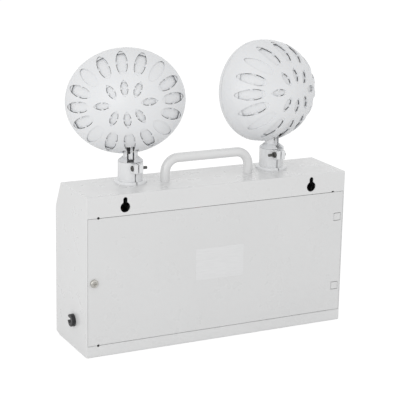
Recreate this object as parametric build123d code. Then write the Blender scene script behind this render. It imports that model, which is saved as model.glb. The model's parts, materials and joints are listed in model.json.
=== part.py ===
from build123d import *
import math
import os

os.makedirs("parts", exist_ok=True)

# Frame: millimetres, +Z up, the wall side (rear) faces +Y, the front faces -Y.
# The origin is the middle of the underside.

# Case
CASE_W = 290.0
CASE_D = 83.0
CASE_H = 163.5
SHEET = 1.2
SLANT_BACK = 14.5
SLANT_DROP = 28.0
TOE_BACK = 10.0
TOE_UP = 2.2
TOE_R = 3.0
SLANT_TOP_R = 3.0
SLANT_LOW_R = 12.0
REAR_EDGE_R = 1.4
SIDE_EDGE_R = 0.8

HALF_W = CASE_W / 2
BACK_Y = CASE_D / 2
FRONT_Y = -CASE_D / 2
INNER_X = HALF_W - SHEET
INNER_BACK = BACK_Y - SHEET
INNER_FRONT = FRONT_Y + SHEET
INNER_TOP = CASE_H - SHEET

# Rear opening and its panel
FLANGE_TOP = 21.2
FLANGE_LOW = 12.0
PANEL_T = 1.0
SEAM = 0.45
SIDE_SEAM = 0.25
SIDE_FLANGE_W = 11.2
RELIEF_R = 1.35
RELIEF_NOTCH_W = 3.2
RELIEF_NOTCH_H = 1.0
OPEN_LOW = FLANGE_LOW
OPEN_TOP = CASE_H - FLANGE_TOP
PANEL_LOW = OPEN_LOW + SEAM
PANEL_TOP = OPEN_TOP - SEAM
SIDE_FLANGE_Y1 = BACK_Y - PANEL_T
SIDE_FLANGE_Y0 = SIDE_FLANGE_Y1 - SHEET
SIDE_FLANGE_X = INNER_X - SIDE_FLANGE_W
PANEL_HALF_W = INNER_X - SIDE_SEAM

# Rear panel fastening
PANEL_SCREW_X = 137.2
PANEL_SCREW_Z = 77.0
M4_HEAD_R = 4.1
M4_HEAD_H = 2.5
M4_R = 2.0
M4_HOLE_R = 2.05
M4_CLEAR_R = 2.3
PANEL_SCREW_LEN = 9.0
CLINCH_R = 4.0
CLINCH_T = 2.4
TAB_X = -137.4
TAB_Z = (39.3, 115.0)
TAB = 8.4
TAB_SLIT = 0.5
TAB_GROOVE = 0.5
HOOK = 6.6
HOOK_WINDOW = 8.8
HOOK_REACH = 1.9
HOOK_GAP = 0.2
HOOK_T = 1.0

# Keyholes in the top rear flange
KEY_X = 104.4
KEY_HEAD_R = 5.2
KEY_SLOT_R = 2.3
KEY_HEAD_Z = 150.5
KEY_TOP_Z = 160.6

# Carry handle
HANDLE_X = 47.0
HANDLE_Y = 8.7
HANDLE_R = 4.75
HANDLE_TOP = 23.0
HANDLE_BEND = 14.0
M5_R = 2.5
M5_HOLE_R = 2.55
M5_CLEAR_R = 2.8
M5_HEAD_R = 4.6
M5_HEAD_H = 3.2
HANDLE_THREAD = 11.0
WASHER_R = 7.5
WASHER_T = 1.2

# Swivel necks
NECK_X = 80.35
NECK_Y = -1.7
COLLAR_FLANGE_R = 16.5
COLLAR_FLANGE_H = 2.8
COLLAR_R = 12.7
COLLAR_H = 21.8
COLLAR_EDGE = 0.4
COLLAR_FILLET = 1.6
STEM_R = 9.0
RUN_FIT = 0.05
COLLAR_BORE_R = STEM_R + RUN_FIT
SPIGOT_R = 12.0
SPIGOT_LEN = 11.0
SPIGOT_HOLE_R = 12.1
RING_FIT = 0.04
RING_R = 16.5
RING_T = 4.2
RING_NOTCH_W = 4.0
RING_NOTCH_D = 1.6
RING_NOTCHES = 6
SPLIT = 1.3
LUG_T = 4.8
LUG_REACH = 20.6
LUG_ROOT = 11.0
LUG_Z0 = 12.8
LUG_Z1 = COLLAR_H
LUG_EDGE = 0.8
CLAMP_Y = 16.7
CLAMP_Z = 17.6
M3_R = 1.5
M3_HOLE_R = 1.55
M3_HEAD_R = 2.8
M3_HEAD_H = 1.6
M3_NUT_AF = 5.5
M3_NUT_T = 2.4
NUT_FIT = 0.05
CLAMP_TAIL = 5.4
NUT_SUNK = 2.4

# Stem: turns in the collar and carries the head on its forked top
STEM_GAP = 0.3
STEM_LAND = 0.5
CONE_R = 12.6
COLUMN_R = 7.3
CONE_H = 4.2
STEM_BORE_R = 4.5
STEM_TAIL = 14.0
CLIP_GROOVE_R = 8.1
CLIP_R = 11.0
CLIP_T = 1.2
CLIP_GAP = 0.3
CLIP_FIT = 0.05
CLIP_OPEN = 6.0
PIVOT_Z = 31.0
FORK = 7.0
FORK_LOW = 18.9
FORK_THROUGH = 20.9
PIN_R = 1.5
PIN_HOLE_R = 1.55
PIN_BLIND = 5.6
PIN_OUT = 7.0
PIN_EDGE = 0.3
FORK_BACK = 5.3
WAIST_FILLET = 2.0
STEM_LEAD_TOP = 19.0

# Attitude of the two heads as photographed, in degrees
PAN = {"left": 22.9, "right": -17.0}
TILT = {"left": 6.7, "right": 7.8}
LEAN = {"left": -6.0, "right": 1.3}

# Head, in its own frame: origin at the pivot, dome axis along +Y
RIM_FORWARD = 7.66
RIM_UP = 50.2
DOME_A = 60.0
DOME_B = 52.5
DOME_C = 49.0
DOME_POWER = 1.9
DOME_WALL = 1.8
DOME_SKIRT = 2.0
PROFILE_STEPS = 14
SQUASH = DOME_B / DOME_A

# Petal louvres: tips lie on four ellipses seen along the dome axis
PETALS_OUTER = 16
OUTER_IN = (35.7, 28.0)
OUTER_OUT = (57.2, 49.9)
OUTER_W = 11.4
BLIND_EVERY = 4
BLIND_OFFSET = 2
BLIND_DEPTH = 0.9
PETALS_INNER = 8
INNER_IN = (14.3, 7.0)
INNER_OUT = (31.5, 23.7)
INNER_W = 7.6
INNER_TURN_IN = 5.0
INNER_TURN_OUT = 13.0
LEAF_TOP = 2.5
LEAF_T = 1.3
LEAF_CLEAR = 0.3
RIB_TOP = 0.8
RIB_W = 2.2
RIB_REACH = 1.4
TIP_RIB_LEN = 3.0
TIP_RIB_GROW = 0.6

# Cut-out for the stem in the underside of the dome
MOUTH_X = 8.0
MOUTH_BACK = 10.0
MOUTH_SLOT_X = 4.3
MOUTH_SLOT_BACK = 12.5
MOUTH_TOP = 12.0

# Dome posts, reflector, lens and bezel
POST_RHO = 0.905
POST_R = 3.3
POST_HOLE_R = 1.3
POST_HOLE_LEN = 11.0
POST_DEPTH = 14.0
SEAT_Y = -0.8
REFL_A = 49.5
REFL_B = 42.0
REFL_DEPTH = 27.0
REFL_WALL = 1.2
REFL_FLANGE_CLEAR = 0.3
REFL_NECK_R = 9.0
REFL_NECK_BORE = 7.6
REFL_NECK_LEN = 7.0
LENS_T = 2.4
LENS_BULGE = 2.2
LENS_INSET = 3.0
BEZEL_GAP = 0.3
BEZEL_DEPTH = 3.9
BEZEL_WALL = 2.6
BEZEL_LIP = 1.3
BEZEL_LIP_IN = 6.5
BEZEL_EDGE = 0.9
EAR_R = 4.3
FACE_SCREW_R = 1.25
FACE_HEAD_R = 2.4
FACE_HEAD_H = 1.3
FACE_SCREW_LEN = 9.0

# Bracket from the pivot to the back of the reflector
TONGUE_X0 = -2.2
TONGUE_X1 = 0.3
TONGUE_R = 4.8
PLATE_X1 = -0.3
TAIL_X1 = 2.0
TAIL_TOP = -1.9
TAIL_Y0 = 1.4
TAIL_Y1 = 5.0
TAIL_CLEAR = 0.3
BRACKET_INNER = ((6.1, -44.0), (14.0, -36.0), (20.2, -29.0), (25.0, -21.0), (28.6, -12.0))
BRACKET_OUTER = ((33.4, -12.0), (32.0, -20.0), (27.5, -29.5), (21.0, -38.0), (12.1, -45.5))
BRACKET_RING_R = 12.6
BRACKET_RING_Y0 = 28.6
BRACKET_RING_Y1 = 33.4
BRACKET_FIT = 0.04

# Lamp
HOLDER_R = 7.55
HOLDER_HEAD_R = 10.5
HOLDER_Y0 = 27.0
HOLDER_Y1 = 34.0
HOLDER_BACK = 39.5
LAMP_R = 4.6
LAMP_LEN = 24.0
LAMP_PINCH_W = 4.0
LAMP_PINCH_T = 1.6
LAMP_PINCH_LEN = 6.0
LAMP_PIN_R = 0.4
LAMP_PIN_GAP = 2.0
LAMP_PIN_IN = 5.0

# Leads
LAMP_LEAD_R = 1.2
LAMP_LEAD_X = 1.9
LAMP_LEAD_Y = 3.2
LEAD_BREAK = 1.5
LEAD_R = 1.1
LEAD_BEND = 7.0
HEAD_LEAD_BEND = 3.0
HEAD_LEAD_X = 3.6
HEAD_LEAD_Y = 34.5
HEAD_LEAD_RISE = 6.5
LEAD_END_GAP = 0.4

# Cord-grip bushing on the side
BUSH_Y = 7.3
BUSH_Z = 29.5
BUSH_R = 6.35
BUSH_OUT = 4.2
BUSH_BODY_R = 5.0
BUSH_HOLE_R = 5.05
BUSH_IN = 8.0
BUSH_BORE_R = 2.6
BUSH_BARB_R = 5.7
BUSH_BARB_LEN = 4.0
BUSH_CHANNEL = 4.4
BUSH_CHANNEL_DEPTH = 3.5
BUSH_CHANNEL_RISE = 8.0
BUSH_EDGE = 0.5

# Front controls
CONTROL_Z = 118.0
LED_X = -14.0
LED_R = 2.5
LED_HOLE_R = 2.6
LED_BEZEL_R = 4.2
LED_BEZEL_T = 1.2
LED_BODY = 7.0
BUTTON_X = 14.0
BUTTON_R = 3.4
BUTTON_HOLE_R = 3.45
BUTTON_CASE_R = 6.2
BUTTON_CASE_T = 1.4
BUTTON_NECK_R = 4.6
BUTTON_NECK_HOLE_R = 4.65
BUTTON_BODY_R = 6.6
BUTTON_BODY_LEN = 9.0
BUTTON_PROUD = 2.6
BUTTON_TRAVEL = 1.6
BUTTON_CAP_LEN = 7.4
BUTTON_FLOOR_GAP = 0.8
BUTTON_POCKET = BUTTON_CAP_LEN - BUTTON_PROUD + BUTTON_TRAVEL + BUTTON_FLOOR_GAP
BUTTON_EDGE = 0.6

# Battery and its strap
BATTERY_W = 70.0
BATTERY_D = 47.0
BATTERY_H = 101.0
BATTERY_X = 0.0
BATTERY_FRONT = -24.0
BATTERY_EDGE = 2.0
BATTERY_LID = 1.2
BATTERY_LID_IN = 2.0
TERMINAL_W = 4.8
TERMINAL_T = 0.8
TERMINAL_H = 7.0
TERMINAL_X = 26.0
TERMINAL_Y = 12.0
STRAP_W = 16.0
STRAP_T = 1.2
STRAP_Z = 62.0
STRAP_FOOT = 14.0
STRAP_FIT = 0.1

# Small pan screws of the inside
INNER_HEAD_R = 3.0
INNER_HEAD_H = 2.0
INNER_R = 1.5
INNER_HOLE_R = 1.55
INNER_LEN = 6.0
BOSS_R = 3.5
BOSS_H = 6.0

# Transformer
TRAFO_X = 92.0
TRAFO_Y = -4.0
TRAFO_W = 48.0
TRAFO_D = 22.0
TRAFO_H = 40.0
TRAFO_WINDOW_W = 8.2
TRAFO_WINDOW_H = 24.0
TRAFO_LIMB = 16.0
COIL_D = 34.0
COIL_FIT = 0.1
COIL_R = 2.0
FOOT_T = 1.5
FOOT_D = 12.0
FOOT_HOLE_Y = 6.5

# Charger board
BOARD_X = -92.0
BOARD_W = 66.0
BOARD_H = 88.0
BOARD_Z = 72.0
BOARD_T = 1.6
BOARD_HOLE_IN = 5.0
STANDOFF_R = 3.2
STANDOFF_LEN = 9.0
CAP_LIST = ((-108.0, 96.0, 6.3, 16.0), (-92.0, 96.0, 5.0, 12.0), (-78.0, 52.0, 4.0, 11.0))
SINK_X = -88.0
SINK_Z = 68.0
SINK_W = 26.0
SINK_H = 22.0
SINK_D = 12.0
SINK_BASE = 2.0
SINK_FINS = 6
SINK_FIN_T = 1.4
PLUG_X = -104.0
PLUG_Z = 38.0
PLUG_W = 22.0
PLUG_H = 8.0
PLUG_D = 9.0

# Mains terminal block
BLOCK_X = 112.0
BLOCK_Z = 84.0
BLOCK_W = 32.0
BLOCK_H = 17.0
BLOCK_D = 13.0
BLOCK_POLES = 3
BLOCK_PITCH = 10.0
BLOCK_HOLE_R = 2.2
BLOCK_HOLE_DEPTH = 5.0
BLOCK_PORT_R = 1.7
BLOCK_PORT_DEPTH = 6.0
BLOCK_EDGE = 0.8

SLIVER = 1.0
LONG = 400.0


def span_box(x0, x1, y0, y1, z0, z1):
    """Box between two corners."""
    middle = Pos((x0 + x1) / 2, (y0 + y1) / 2, (z0 + z1) / 2)
    return middle * Box(x1 - x0, y1 - y0, z1 - z0)


def rod_z(x, y, z0, z1, r):
    """Cylinder along Z."""
    return Pos(x, y, (z0 + z1) / 2) * Cylinder(r, z1 - z0)


def rod_y(x, z, y0, y1, r):
    """Cylinder along Y."""
    return Pos(x, (y0 + y1) / 2, z) * Rot(90, 0, 0) * Cylinder(r, y1 - y0)


def rod_x(y, z, x0, x1, r):
    """Cylinder along X."""
    return Pos((x0 + x1) / 2, y, z) * Rot(0, 90, 0) * Cylinder(r, x1 - x0)


def slab_x(points, x0, x1):
    """Plate between two X values, outlined by (y, z) points."""
    outline = Plane.YZ * Polygon(*points, align=None)
    return Pos((x0 + x1) / 2, 0, 0) * extrude(outline, (x1 - x0) / 2, both=True)


def fuse(shapes):
    """One shape from many."""
    result = shapes[0]
    for shape in shapes[1:]:
        result = result + shape
    return result


def hex_x(y, z, x0, x1, flats):
    """Hexagonal bar along X."""
    outline = Plane.YZ * RegularPolygon(flats / 2, 6, major_radius=False)
    return Pos((x0 + x1) / 2, y, z) * extrude(outline, (x1 - x0) / 2, both=True)


def lead(points, bend, r):
    """Round insulated wire: straight runs joined by tangent arcs."""
    path = FilletPolyline(*points, radius=bend)
    start = path @ 0
    section = Plane(origin=start, z_dir=path % 0) * Circle(r)
    return sweep(section, path=path)


def cross_slot(length, width, depth):
    """Cross recess cut from the top of a screw head, in the XY plane, going down."""
    bars = Box(length, width, depth) + Box(width, length, depth)
    return Pos(0, 0, -depth / 2) * bars


def pan_screw(head_r, head_h, r, length):
    """Pan-head cross screw: head on +Z, seat at the origin, shank going down."""
    head = Cylinder(head_r, head_h, align=(Align.CENTER, Align.CENTER, Align.MIN))
    top = head.edges().filter_by(GeomType.CIRCLE).sort_by(Axis.Z)[-1]
    head = fillet(top, head_h * 0.6)
    head = head - Pos(0, 0, head_h) * cross_slot(head_r, head_r / 5, head_h / 2)
    return head + Pos(0, 0, -length / 2) * Cylinder(r, length)


def group(shapes):
    """Separate solids that share one node."""
    solids = []
    for shape in shapes:
        solids += list(shape.solids())
    return Compound(children=solids)


def save(name, shape):
    """Write one node."""
    export_step(shape, "parts/" + name + ".step")


def case_profile(inset):
    """Side outline of the case, drawn in the YZ plane."""
    corners = [
        (BACK_Y - inset, inset),
        (FRONT_Y + TOE_BACK, inset),
        (FRONT_Y + inset, TOE_UP + inset),
        (FRONT_Y + inset, CASE_H - SLANT_DROP - inset / 2),
        (FRONT_Y + SLANT_BACK + inset / 2, CASE_H - inset),
        (BACK_Y - inset, CASE_H - inset),
    ]
    radii = [
        REAR_EDGE_R, TOE_R, TOE_UP / 2, SLANT_LOW_R, SLANT_TOP_R, REAR_EDGE_R,
    ]
    outline = Polygon(*corners, align=None)
    for corner, radius in zip(corners, radii):
        spot = Vector(corner[0], corner[1], 0)
        near = outline.vertices().sort_by_distance(spot)[0]
        outline = fillet(near, max(radius - inset, SIDE_EDGE_R / 2))
    return outline


def case_solid(inset):
    """Case outline pushed across the width."""
    return extrude(Plane.YZ * case_profile(inset), HALF_W - inset, both=True)


def keyhole(x):
    """Keyhole cutter through the rear wall, narrow end up."""
    head = rod_y(x, KEY_HEAD_Z, INNER_BACK - SLIVER, BACK_Y + SLIVER, KEY_HEAD_R)
    top = KEY_TOP_Z - KEY_SLOT_R
    end = rod_y(x, top, INNER_BACK - SLIVER, BACK_Y + SLIVER, KEY_SLOT_R)
    neck = span_box(
        x - KEY_SLOT_R, x + KEY_SLOT_R, INNER_BACK - SLIVER, BACK_Y + SLIVER, KEY_HEAD_Z, top
    )
    return head + end + neck


def make_case():
    """Folded sheet case with flanges round the rear opening."""
    outer = case_solid(0)
    ends = outer.faces().filter_by(Axis.X)
    outer = fillet(ends.edges(), SIDE_EDGE_R)
    case = outer - case_solid(SHEET)
    case = case - span_box(
        -INNER_X, INNER_X, INNER_BACK - SLIVER, BACK_Y + SLIVER, OPEN_LOW, OPEN_TOP
    )
    for side in (-1, 1):
        near = side * INNER_X + side * SHEET / 2
        far = side * SIDE_FLANGE_X
        case = case + span_box(
            min(near, far), max(near, far), SIDE_FLANGE_Y0, SIDE_FLANGE_Y1, OPEN_LOW, OPEN_TOP
        )
    cutters = [keyhole(side * KEY_X) for side in (-1, 1)]
    for z in (OPEN_LOW, OPEN_TOP):
        cutters.append(rod_y(SIDE_FLANGE_X, z, SIDE_FLANGE_Y0 - SLIVER, BACK_Y + SLIVER, RELIEF_R))
    cutters.append(
        span_box(
            -SIDE_FLANGE_X, -SIDE_FLANGE_X + RELIEF_NOTCH_W, INNER_BACK - SLIVER,
            BACK_Y + SLIVER, OPEN_TOP - SLIVER, OPEN_TOP + RELIEF_NOTCH_H,
        )
    )
    for side in (-1, 1):
        cutters.append(
            rod_z(side * NECK_X, NECK_Y, INNER_TOP - SLIVER, CASE_H + SLIVER, SPIGOT_HOLE_R)
        )
        cutters.append(
            rod_z(side * HANDLE_X, HANDLE_Y, INNER_TOP - SLIVER, CASE_H + SLIVER, M5_CLEAR_R)
        )
    for z in TAB_Z:
        cutters.append(
            span_box(
                TAB_X - HOOK_WINDOW / 2, TAB_X + HOOK_WINDOW / 2, SIDE_FLANGE_Y0 - SLIVER,
                SIDE_FLANGE_Y1 + SLIVER, z - HOOK_WINDOW / 2, z + HOOK_WINDOW / 2,
            )
        )
    cutters.append(rod_x(BUSH_Y, BUSH_Z, INNER_X - SLIVER, HALF_W + SLIVER, BUSH_HOLE_R))
    cutters.append(
        rod_y(LED_X, CONTROL_Z, FRONT_Y - SLIVER, INNER_FRONT + SLIVER, LED_HOLE_R)
    )
    cutters.append(
        rod_y(BUTTON_X, CONTROL_Z, FRONT_Y - SLIVER, INNER_FRONT + SLIVER, BUTTON_NECK_HOLE_R)
    )
    case = case - cutters
    clinch = rod_y(
        PANEL_SCREW_X, PANEL_SCREW_Z, SIDE_FLANGE_Y0 - CLINCH_T, SIDE_FLANGE_Y0, CLINCH_R
    )
    bosses = [clinch]
    for x, z in inner_screw_spots():
        bosses.append(rod_y(x, z, INNER_FRONT, INNER_FRONT + BOSS_H, BOSS_R))
    for side in (-1, 1):
        for y in (-FOOT_HOLE_Y, FOOT_HOLE_Y):
            bosses.append(foot_boss(side, y))
    case = case + bosses
    drills = [
        rod_y(
            PANEL_SCREW_X, PANEL_SCREW_Z, SIDE_FLANGE_Y0 - CLINCH_T - SLIVER,
            SIDE_FLANGE_Y1 + SLIVER, M4_HOLE_R,
        )
    ]
    for x, z in inner_screw_spots():
        drills.append(rod_y(x, z, INNER_FRONT, INNER_FRONT + BOSS_H + SLIVER, INNER_HOLE_R))
    for side in (-1, 1):
        for y in (-FOOT_HOLE_Y, FOOT_HOLE_Y):
            drills.append(foot_drill(side, y))
    return case - drills


def strap_spots():
    """Screw positions of the battery strap on the front wall."""
    reach = BATTERY_W / 2 + STRAP_FIT + STRAP_T + STRAP_FOOT / 2
    return [(BATTERY_X + side * reach, STRAP_Z) for side in (-1, 1)]


def block_spots():
    """Screw positions of the terminal block on the front wall."""
    reach = BLOCK_PITCH / 2
    return [(BLOCK_X + side * reach, BLOCK_Z) for side in (-1, 1)]


def inner_screw_spots():
    """Every threaded boss on the front wall."""
    return strap_spots() + block_spots()


def foot_x(side):
    """Middle of one transformer foot."""
    return TRAFO_X + side * (TRAFO_W / 2 + FOOT_D / 2)


def foot_boss(side, y):
    """Threaded boss under a transformer foot."""
    return rod_z(foot_x(side), TRAFO_Y + y, SHEET, SHEET + BOSS_H, BOSS_R)


def foot_drill(side, y):
    """Thread in that boss."""
    return rod_z(foot_x(side), TRAFO_Y + y, SHEET, SHEET + BOSS_H + SLIVER, INNER_HOLE_R)


def make_panel():
    """Rear panel with two lanced tabs and their hooks."""
    panel = span_box(-PANEL_HALF_W, PANEL_HALF_W, SIDE_FLANGE_Y1, BACK_Y, PANEL_LOW, PANEL_TOP)
    cutters = []
    hooks = []
    for z in (OPEN_LOW, OPEN_TOP):
        cutters.append(rod_y(SIDE_FLANGE_X, z, SIDE_FLANGE_Y0, BACK_Y + SLIVER, RELIEF_R))
    cutters.append(
        rod_y(PANEL_SCREW_X, PANEL_SCREW_Z, SIDE_FLANGE_Y0, BACK_Y + SLIVER, M4_CLEAR_R)
    )
    half = TAB / 2
    for z in TAB_Z:
        frame = span_box(
            TAB_X - half, TAB_X + half, BACK_Y - TAB_GROOVE, BACK_Y + SLIVER, z - half, z + half
        )
        core = span_box(
            TAB_X - half + TAB_SLIT, TAB_X + half - TAB_SLIT, SIDE_FLANGE_Y0,
            BACK_Y + SLIVER, z - half + TAB_SLIT, z + half - TAB_SLIT,
        )
        cutters.append(frame - core)
        for low in (z - half, z + half - TAB_SLIT):
            cutters.append(
                span_box(
                    TAB_X - half, TAB_X + half, SIDE_FLANGE_Y0, BACK_Y + SLIVER,
                    low, low + TAB_SLIT,
                )
            )
        lip_y1 = SIDE_FLANGE_Y0 - HOOK_GAP
        root = span_box(
            TAB_X - HOOK / 2, TAB_X + HOOK / 2, lip_y1 - HOOK_T, SIDE_FLANGE_Y1,
            z - HOOK / 2, z + HOOK / 2,
        )
        lip = span_box(
            TAB_X - HOOK / 2 - HOOK_REACH, TAB_X, lip_y1 - HOOK_T, lip_y1,
            z - HOOK / 2, z + HOOK / 2,
        )
        hooks += [root, lip]
    return panel - cutters + hooks


def make_panel_screw():
    """Pan screw that closes the rear panel."""
    screw = pan_screw(M4_HEAD_R, M4_HEAD_H, M4_R, PANEL_SCREW_LEN)
    return Pos(PANEL_SCREW_X, BACK_Y, PANEL_SCREW_Z) * Rot(-90, 0, 0) * screw


def make_handle():
    """Round bar bent into a bow, tapped at both ends."""
    low = CASE_H
    top = CASE_H + HANDLE_TOP
    points = [
        (-HANDLE_X, HANDLE_Y, low), (-HANDLE_X, HANDLE_Y, top),
        (HANDLE_X, HANDLE_Y, top), (HANDLE_X, HANDLE_Y, low),
    ]
    bow = lead(points, HANDLE_BEND, HANDLE_R)
    taps = [
        rod_z(side * HANDLE_X, HANDLE_Y, low - SLIVER, low + HANDLE_THREAD, M5_HOLE_R)
        for side in (-1, 1)
    ]
    return bow - taps


def make_handle_screws():
    """Two screws that hold the handle from inside."""
    seat = INNER_TOP - WASHER_T
    screw = pan_screw(M5_HEAD_R, M5_HEAD_H, M5_R, HANDLE_THREAD)
    return [
        Pos(side * HANDLE_X, HANDLE_Y, seat) * Rot(180, 0, 0) * screw for side in (-1, 1)
    ]


def make_handle_washers():
    """Wide washers under the handle screws."""
    washers = []
    for side in (-1, 1):
        x = side * HANDLE_X
        disc = rod_z(x, HANDLE_Y, INNER_TOP - WASHER_T, INNER_TOP, WASHER_R)
        washers.append(disc - rod_z(x, HANDLE_Y, INNER_TOP - LONG, CASE_H, M5_HOLE_R))
    return washers


def make_bushing():
    """Black cord-grip bushing whose cord channel turns to the front."""
    out = HALF_W + BUSH_OUT
    head = rod_x(BUSH_Y, BUSH_Z, HALF_W, out, BUSH_R)
    rim = head.edges().filter_by(GeomType.CIRCLE).sort_by(Axis.X)[-1]
    head = fillet(rim, BUSH_EDGE)
    body = rod_x(BUSH_Y, BUSH_Z, HALF_W - BUSH_IN, HALF_W, BUSH_BODY_R)
    barb_end = INNER_X - BUSH_CHANNEL_DEPTH / 2
    barb = rod_x(BUSH_Y, BUSH_Z, barb_end - BUSH_BARB_LEN / 2, barb_end, BUSH_BARB_R)
    bore = rod_x(BUSH_Y, BUSH_Z, HALF_W - LONG, out + SLIVER, BUSH_BORE_R)
    half = BUSH_CHANNEL / 2
    channel = span_box(out - BUSH_CHANNEL_DEPTH, out + SLIVER, -LONG, 0, -half, half)
    channel = Pos(0, BUSH_Y, BUSH_Z) * Rot(-BUSH_CHANNEL_RISE, 0, 0) * channel
    return head + body + barb - bore - channel


def neck(side):
    """Placement of one neck: origin on the case top, on the neck axis."""
    return Pos(side * NECK_X, NECK_Y, CASE_H)


def make_collar(side, sunk):
    """Split clamp collar, in the neck frame."""
    flange = rod_z(0, 0, 0, COLLAR_FLANGE_H, COLLAR_FLANGE_R)
    top = flange.edges().filter_by(GeomType.CIRCLE).sort_by(Axis.Z)[-1]
    flange = fillet(top, COLLAR_FILLET)
    barrel = rod_z(0, 0, 0, COLLAR_H, COLLAR_R)
    top = barrel.edges().filter_by(GeomType.CIRCLE).sort_by(Axis.Z)[-1]
    barrel = fillet(top, COLLAR_EDGE)
    lugs = span_box(
        -LUG_T, LUG_T, LUG_ROOT, LUG_REACH, LUG_Z0, LUG_Z1
    )
    outer = lugs.edges().filter_by(Axis.X).sort_by(Axis.Y)[-2:]
    lugs = fillet(outer, LUG_EDGE)
    spigot = rod_z(0, 0, -SPIGOT_LEN, 0, SPIGOT_R)
    collar = flange + barrel + lugs + spigot
    collar = collar - rod_z(0, 0, -LONG, LONG, COLLAR_BORE_R)
    collar = collar - span_box(-SPLIT / 2, SPLIT / 2, 0, LONG, 0, LONG)
    collar = collar - rod_x(CLAMP_Y, CLAMP_Z, -LONG, LONG, M3_HOLE_R)
    if sunk:
        far = -side * LUG_T
        near = far + side * NUT_SUNK
        pocket = hex_x(CLAMP_Y, CLAMP_Z, min(far, near) , max(far, near), M3_NUT_AF + 2 * NUT_FIT)
        collar = collar - pocket
    return collar


def make_ring_nut():
    """Ring nut under the case top, in the neck frame."""
    ring = rod_z(0, 0, -SHEET - RING_T, -SHEET, RING_R)
    ring = ring - rod_z(0, 0, -LONG, LONG, SPIGOT_R + RING_FIT)
    notches = []
    for index in range(RING_NOTCHES):
        notch = span_box(
            RING_R - RING_NOTCH_D, RING_R + SLIVER, -RING_NOTCH_W / 2, RING_NOTCH_W / 2,
            -SHEET - RING_T - SLIVER, -SHEET,
        )
        notches.append(Rot(0, 0, index * 360 / RING_NOTCHES) * notch)
    return ring - notches


def make_clamp_bolt(side, sunk):
    """Clamp screw through the lugs, head on the outer side."""
    nut_out = LUG_T + (M3_NUT_T - NUT_SUNK if sunk else M3_NUT_T)
    length = LUG_T + nut_out + CLAMP_TAIL
    screw = pan_screw(M3_HEAD_R, M3_HEAD_H, M3_R, length)
    return Pos(side * LUG_T, CLAMP_Y, CLAMP_Z) * Rot(0, side * 90, 0) * screw


def make_clamp_nut(side, sunk):
    """Nut of the clamp screw, sunk in the lug or standing on it."""
    near = -side * (LUG_T - NUT_SUNK if sunk else LUG_T)
    far = near - side * M3_NUT_T
    nut = hex_x(CLAMP_Y, CLAMP_Z, min(near, far), max(near, far), M3_NUT_AF)
    return nut - rod_x(CLAMP_Y, CLAMP_Z, -LONG, LONG, M3_HOLE_R)


def make_stem():
    """Hollow turning stem with a slotted round top, in the neck frame, facing +Y."""
    base = COLLAR_H + STEM_GAP
    spigot = rod_z(0, 0, -STEM_TAIL, base, STEM_R)
    land = rod_z(0, 0, base, base + STEM_LAND, CONE_R)
    cone_base = base + STEM_LAND
    cone = Pos(0, 0, cone_base + CONE_H / 2) * Cone(CONE_R, COLUMN_R, CONE_H)
    column = rod_z(0, 0, cone_base, PIVOT_Z, COLUMN_R)
    top = cone + column
    waist = top.edges().filter_by(GeomType.CIRCLE)
    waist = waist.sort_by_distance(Vector(0, COLUMN_R, cone_base + CONE_H))[0]
    top = fillet(waist, WAIST_FILLET)
    ball = Pos(0, 0, PIVOT_Z) * Sphere(COLUMN_R)
    stem = spigot + land + top + ball
    half = FORK / 2
    stem = stem - rod_z(0, 0, -LONG, FORK_THROUGH, STEM_BORE_R)
    stem = stem - span_box(-half, half, 0, LONG, FORK_LOW, LONG)
    stem = stem - span_box(-half, half, -FORK_BACK, SLIVER, FORK_THROUGH, LONG)
    groove_top = -SPIGOT_LEN - CLIP_GAP + CLIP_FIT
    groove = rod_z(0, 0, groove_top - CLIP_T - 2 * CLIP_FIT, groove_top, STEM_R + SLIVER)
    groove = groove - rod_z(0, 0, -LONG, LONG, CLIP_GROOVE_R)
    stem = stem - groove
    return stem - rod_x(0, PIVOT_Z, -LONG, PIN_BLIND, PIN_HOLE_R)


def make_stem_clip():
    """Open snap ring that keeps the stem in the collar."""
    top = -SPIGOT_LEN - CLIP_GAP
    clip = rod_z(0, 0, top - CLIP_T, top, CLIP_R)
    clip = clip - rod_z(0, 0, -LONG, LONG, CLIP_GROOVE_R + CLIP_FIT)
    return clip - span_box(-CLIP_OPEN / 2, CLIP_OPEN / 2, 0, LONG, -LONG, 0)


def make_pin():
    """Pivot pin pushed into a blind hole across the fork."""
    pin = rod_x(0, PIVOT_Z, -PIN_OUT, PIN_BLIND, PIN_R)
    return fillet(pin.edges().filter_by(GeomType.CIRCLE), PIN_EDGE)


def make_stem_lead():
    """Lamp lead inside the stem, up to the bottom of the fork."""
    return rod_z(0, 0, -STEM_TAIL, STEM_LEAD_TOP, LAMP_LEAD_R)


def dome_curve(grow):
    """Half outline of the dome in the XY plane, from the axis to the rim."""
    a = DOME_A - grow
    c = DOME_C - grow
    points = []
    for index in range(PROFILE_STEPS + 1):
        angle = math.pi / 2 * index / PROFILE_STEPS
        rho = math.sin(angle)
        depth = max(0.0, 1 - rho ** DOME_POWER) ** (1 / DOME_POWER)
        points.append((a * rho, c * depth))
    return Spline(*points, tangents=((1, 0), (0, -1)))


def dome_solid(grow, skirt):
    """Solid dome, oval, shrunk all round by grow, with a straight skirt."""
    curve = dome_curve(grow)
    a = DOME_A - grow
    lines = [
        curve,
        Line((a, 0), (a, -skirt)),
        Line((a, -skirt), (0, -skirt)),
        Line((0, -skirt), (0, DOME_C - grow)),
    ]
    face = make_face(Curve() + lines)
    return scale(revolve(face, Axis.Y), by=(1, 1, SQUASH))


def oval_disc(a, b, y0, y1):
    """Flat oval disc between two depths."""
    outline = Plane.XZ * Ellipse(a, b)
    return Pos(0, y1, 0) * extrude(outline, y1 - y0)


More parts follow.
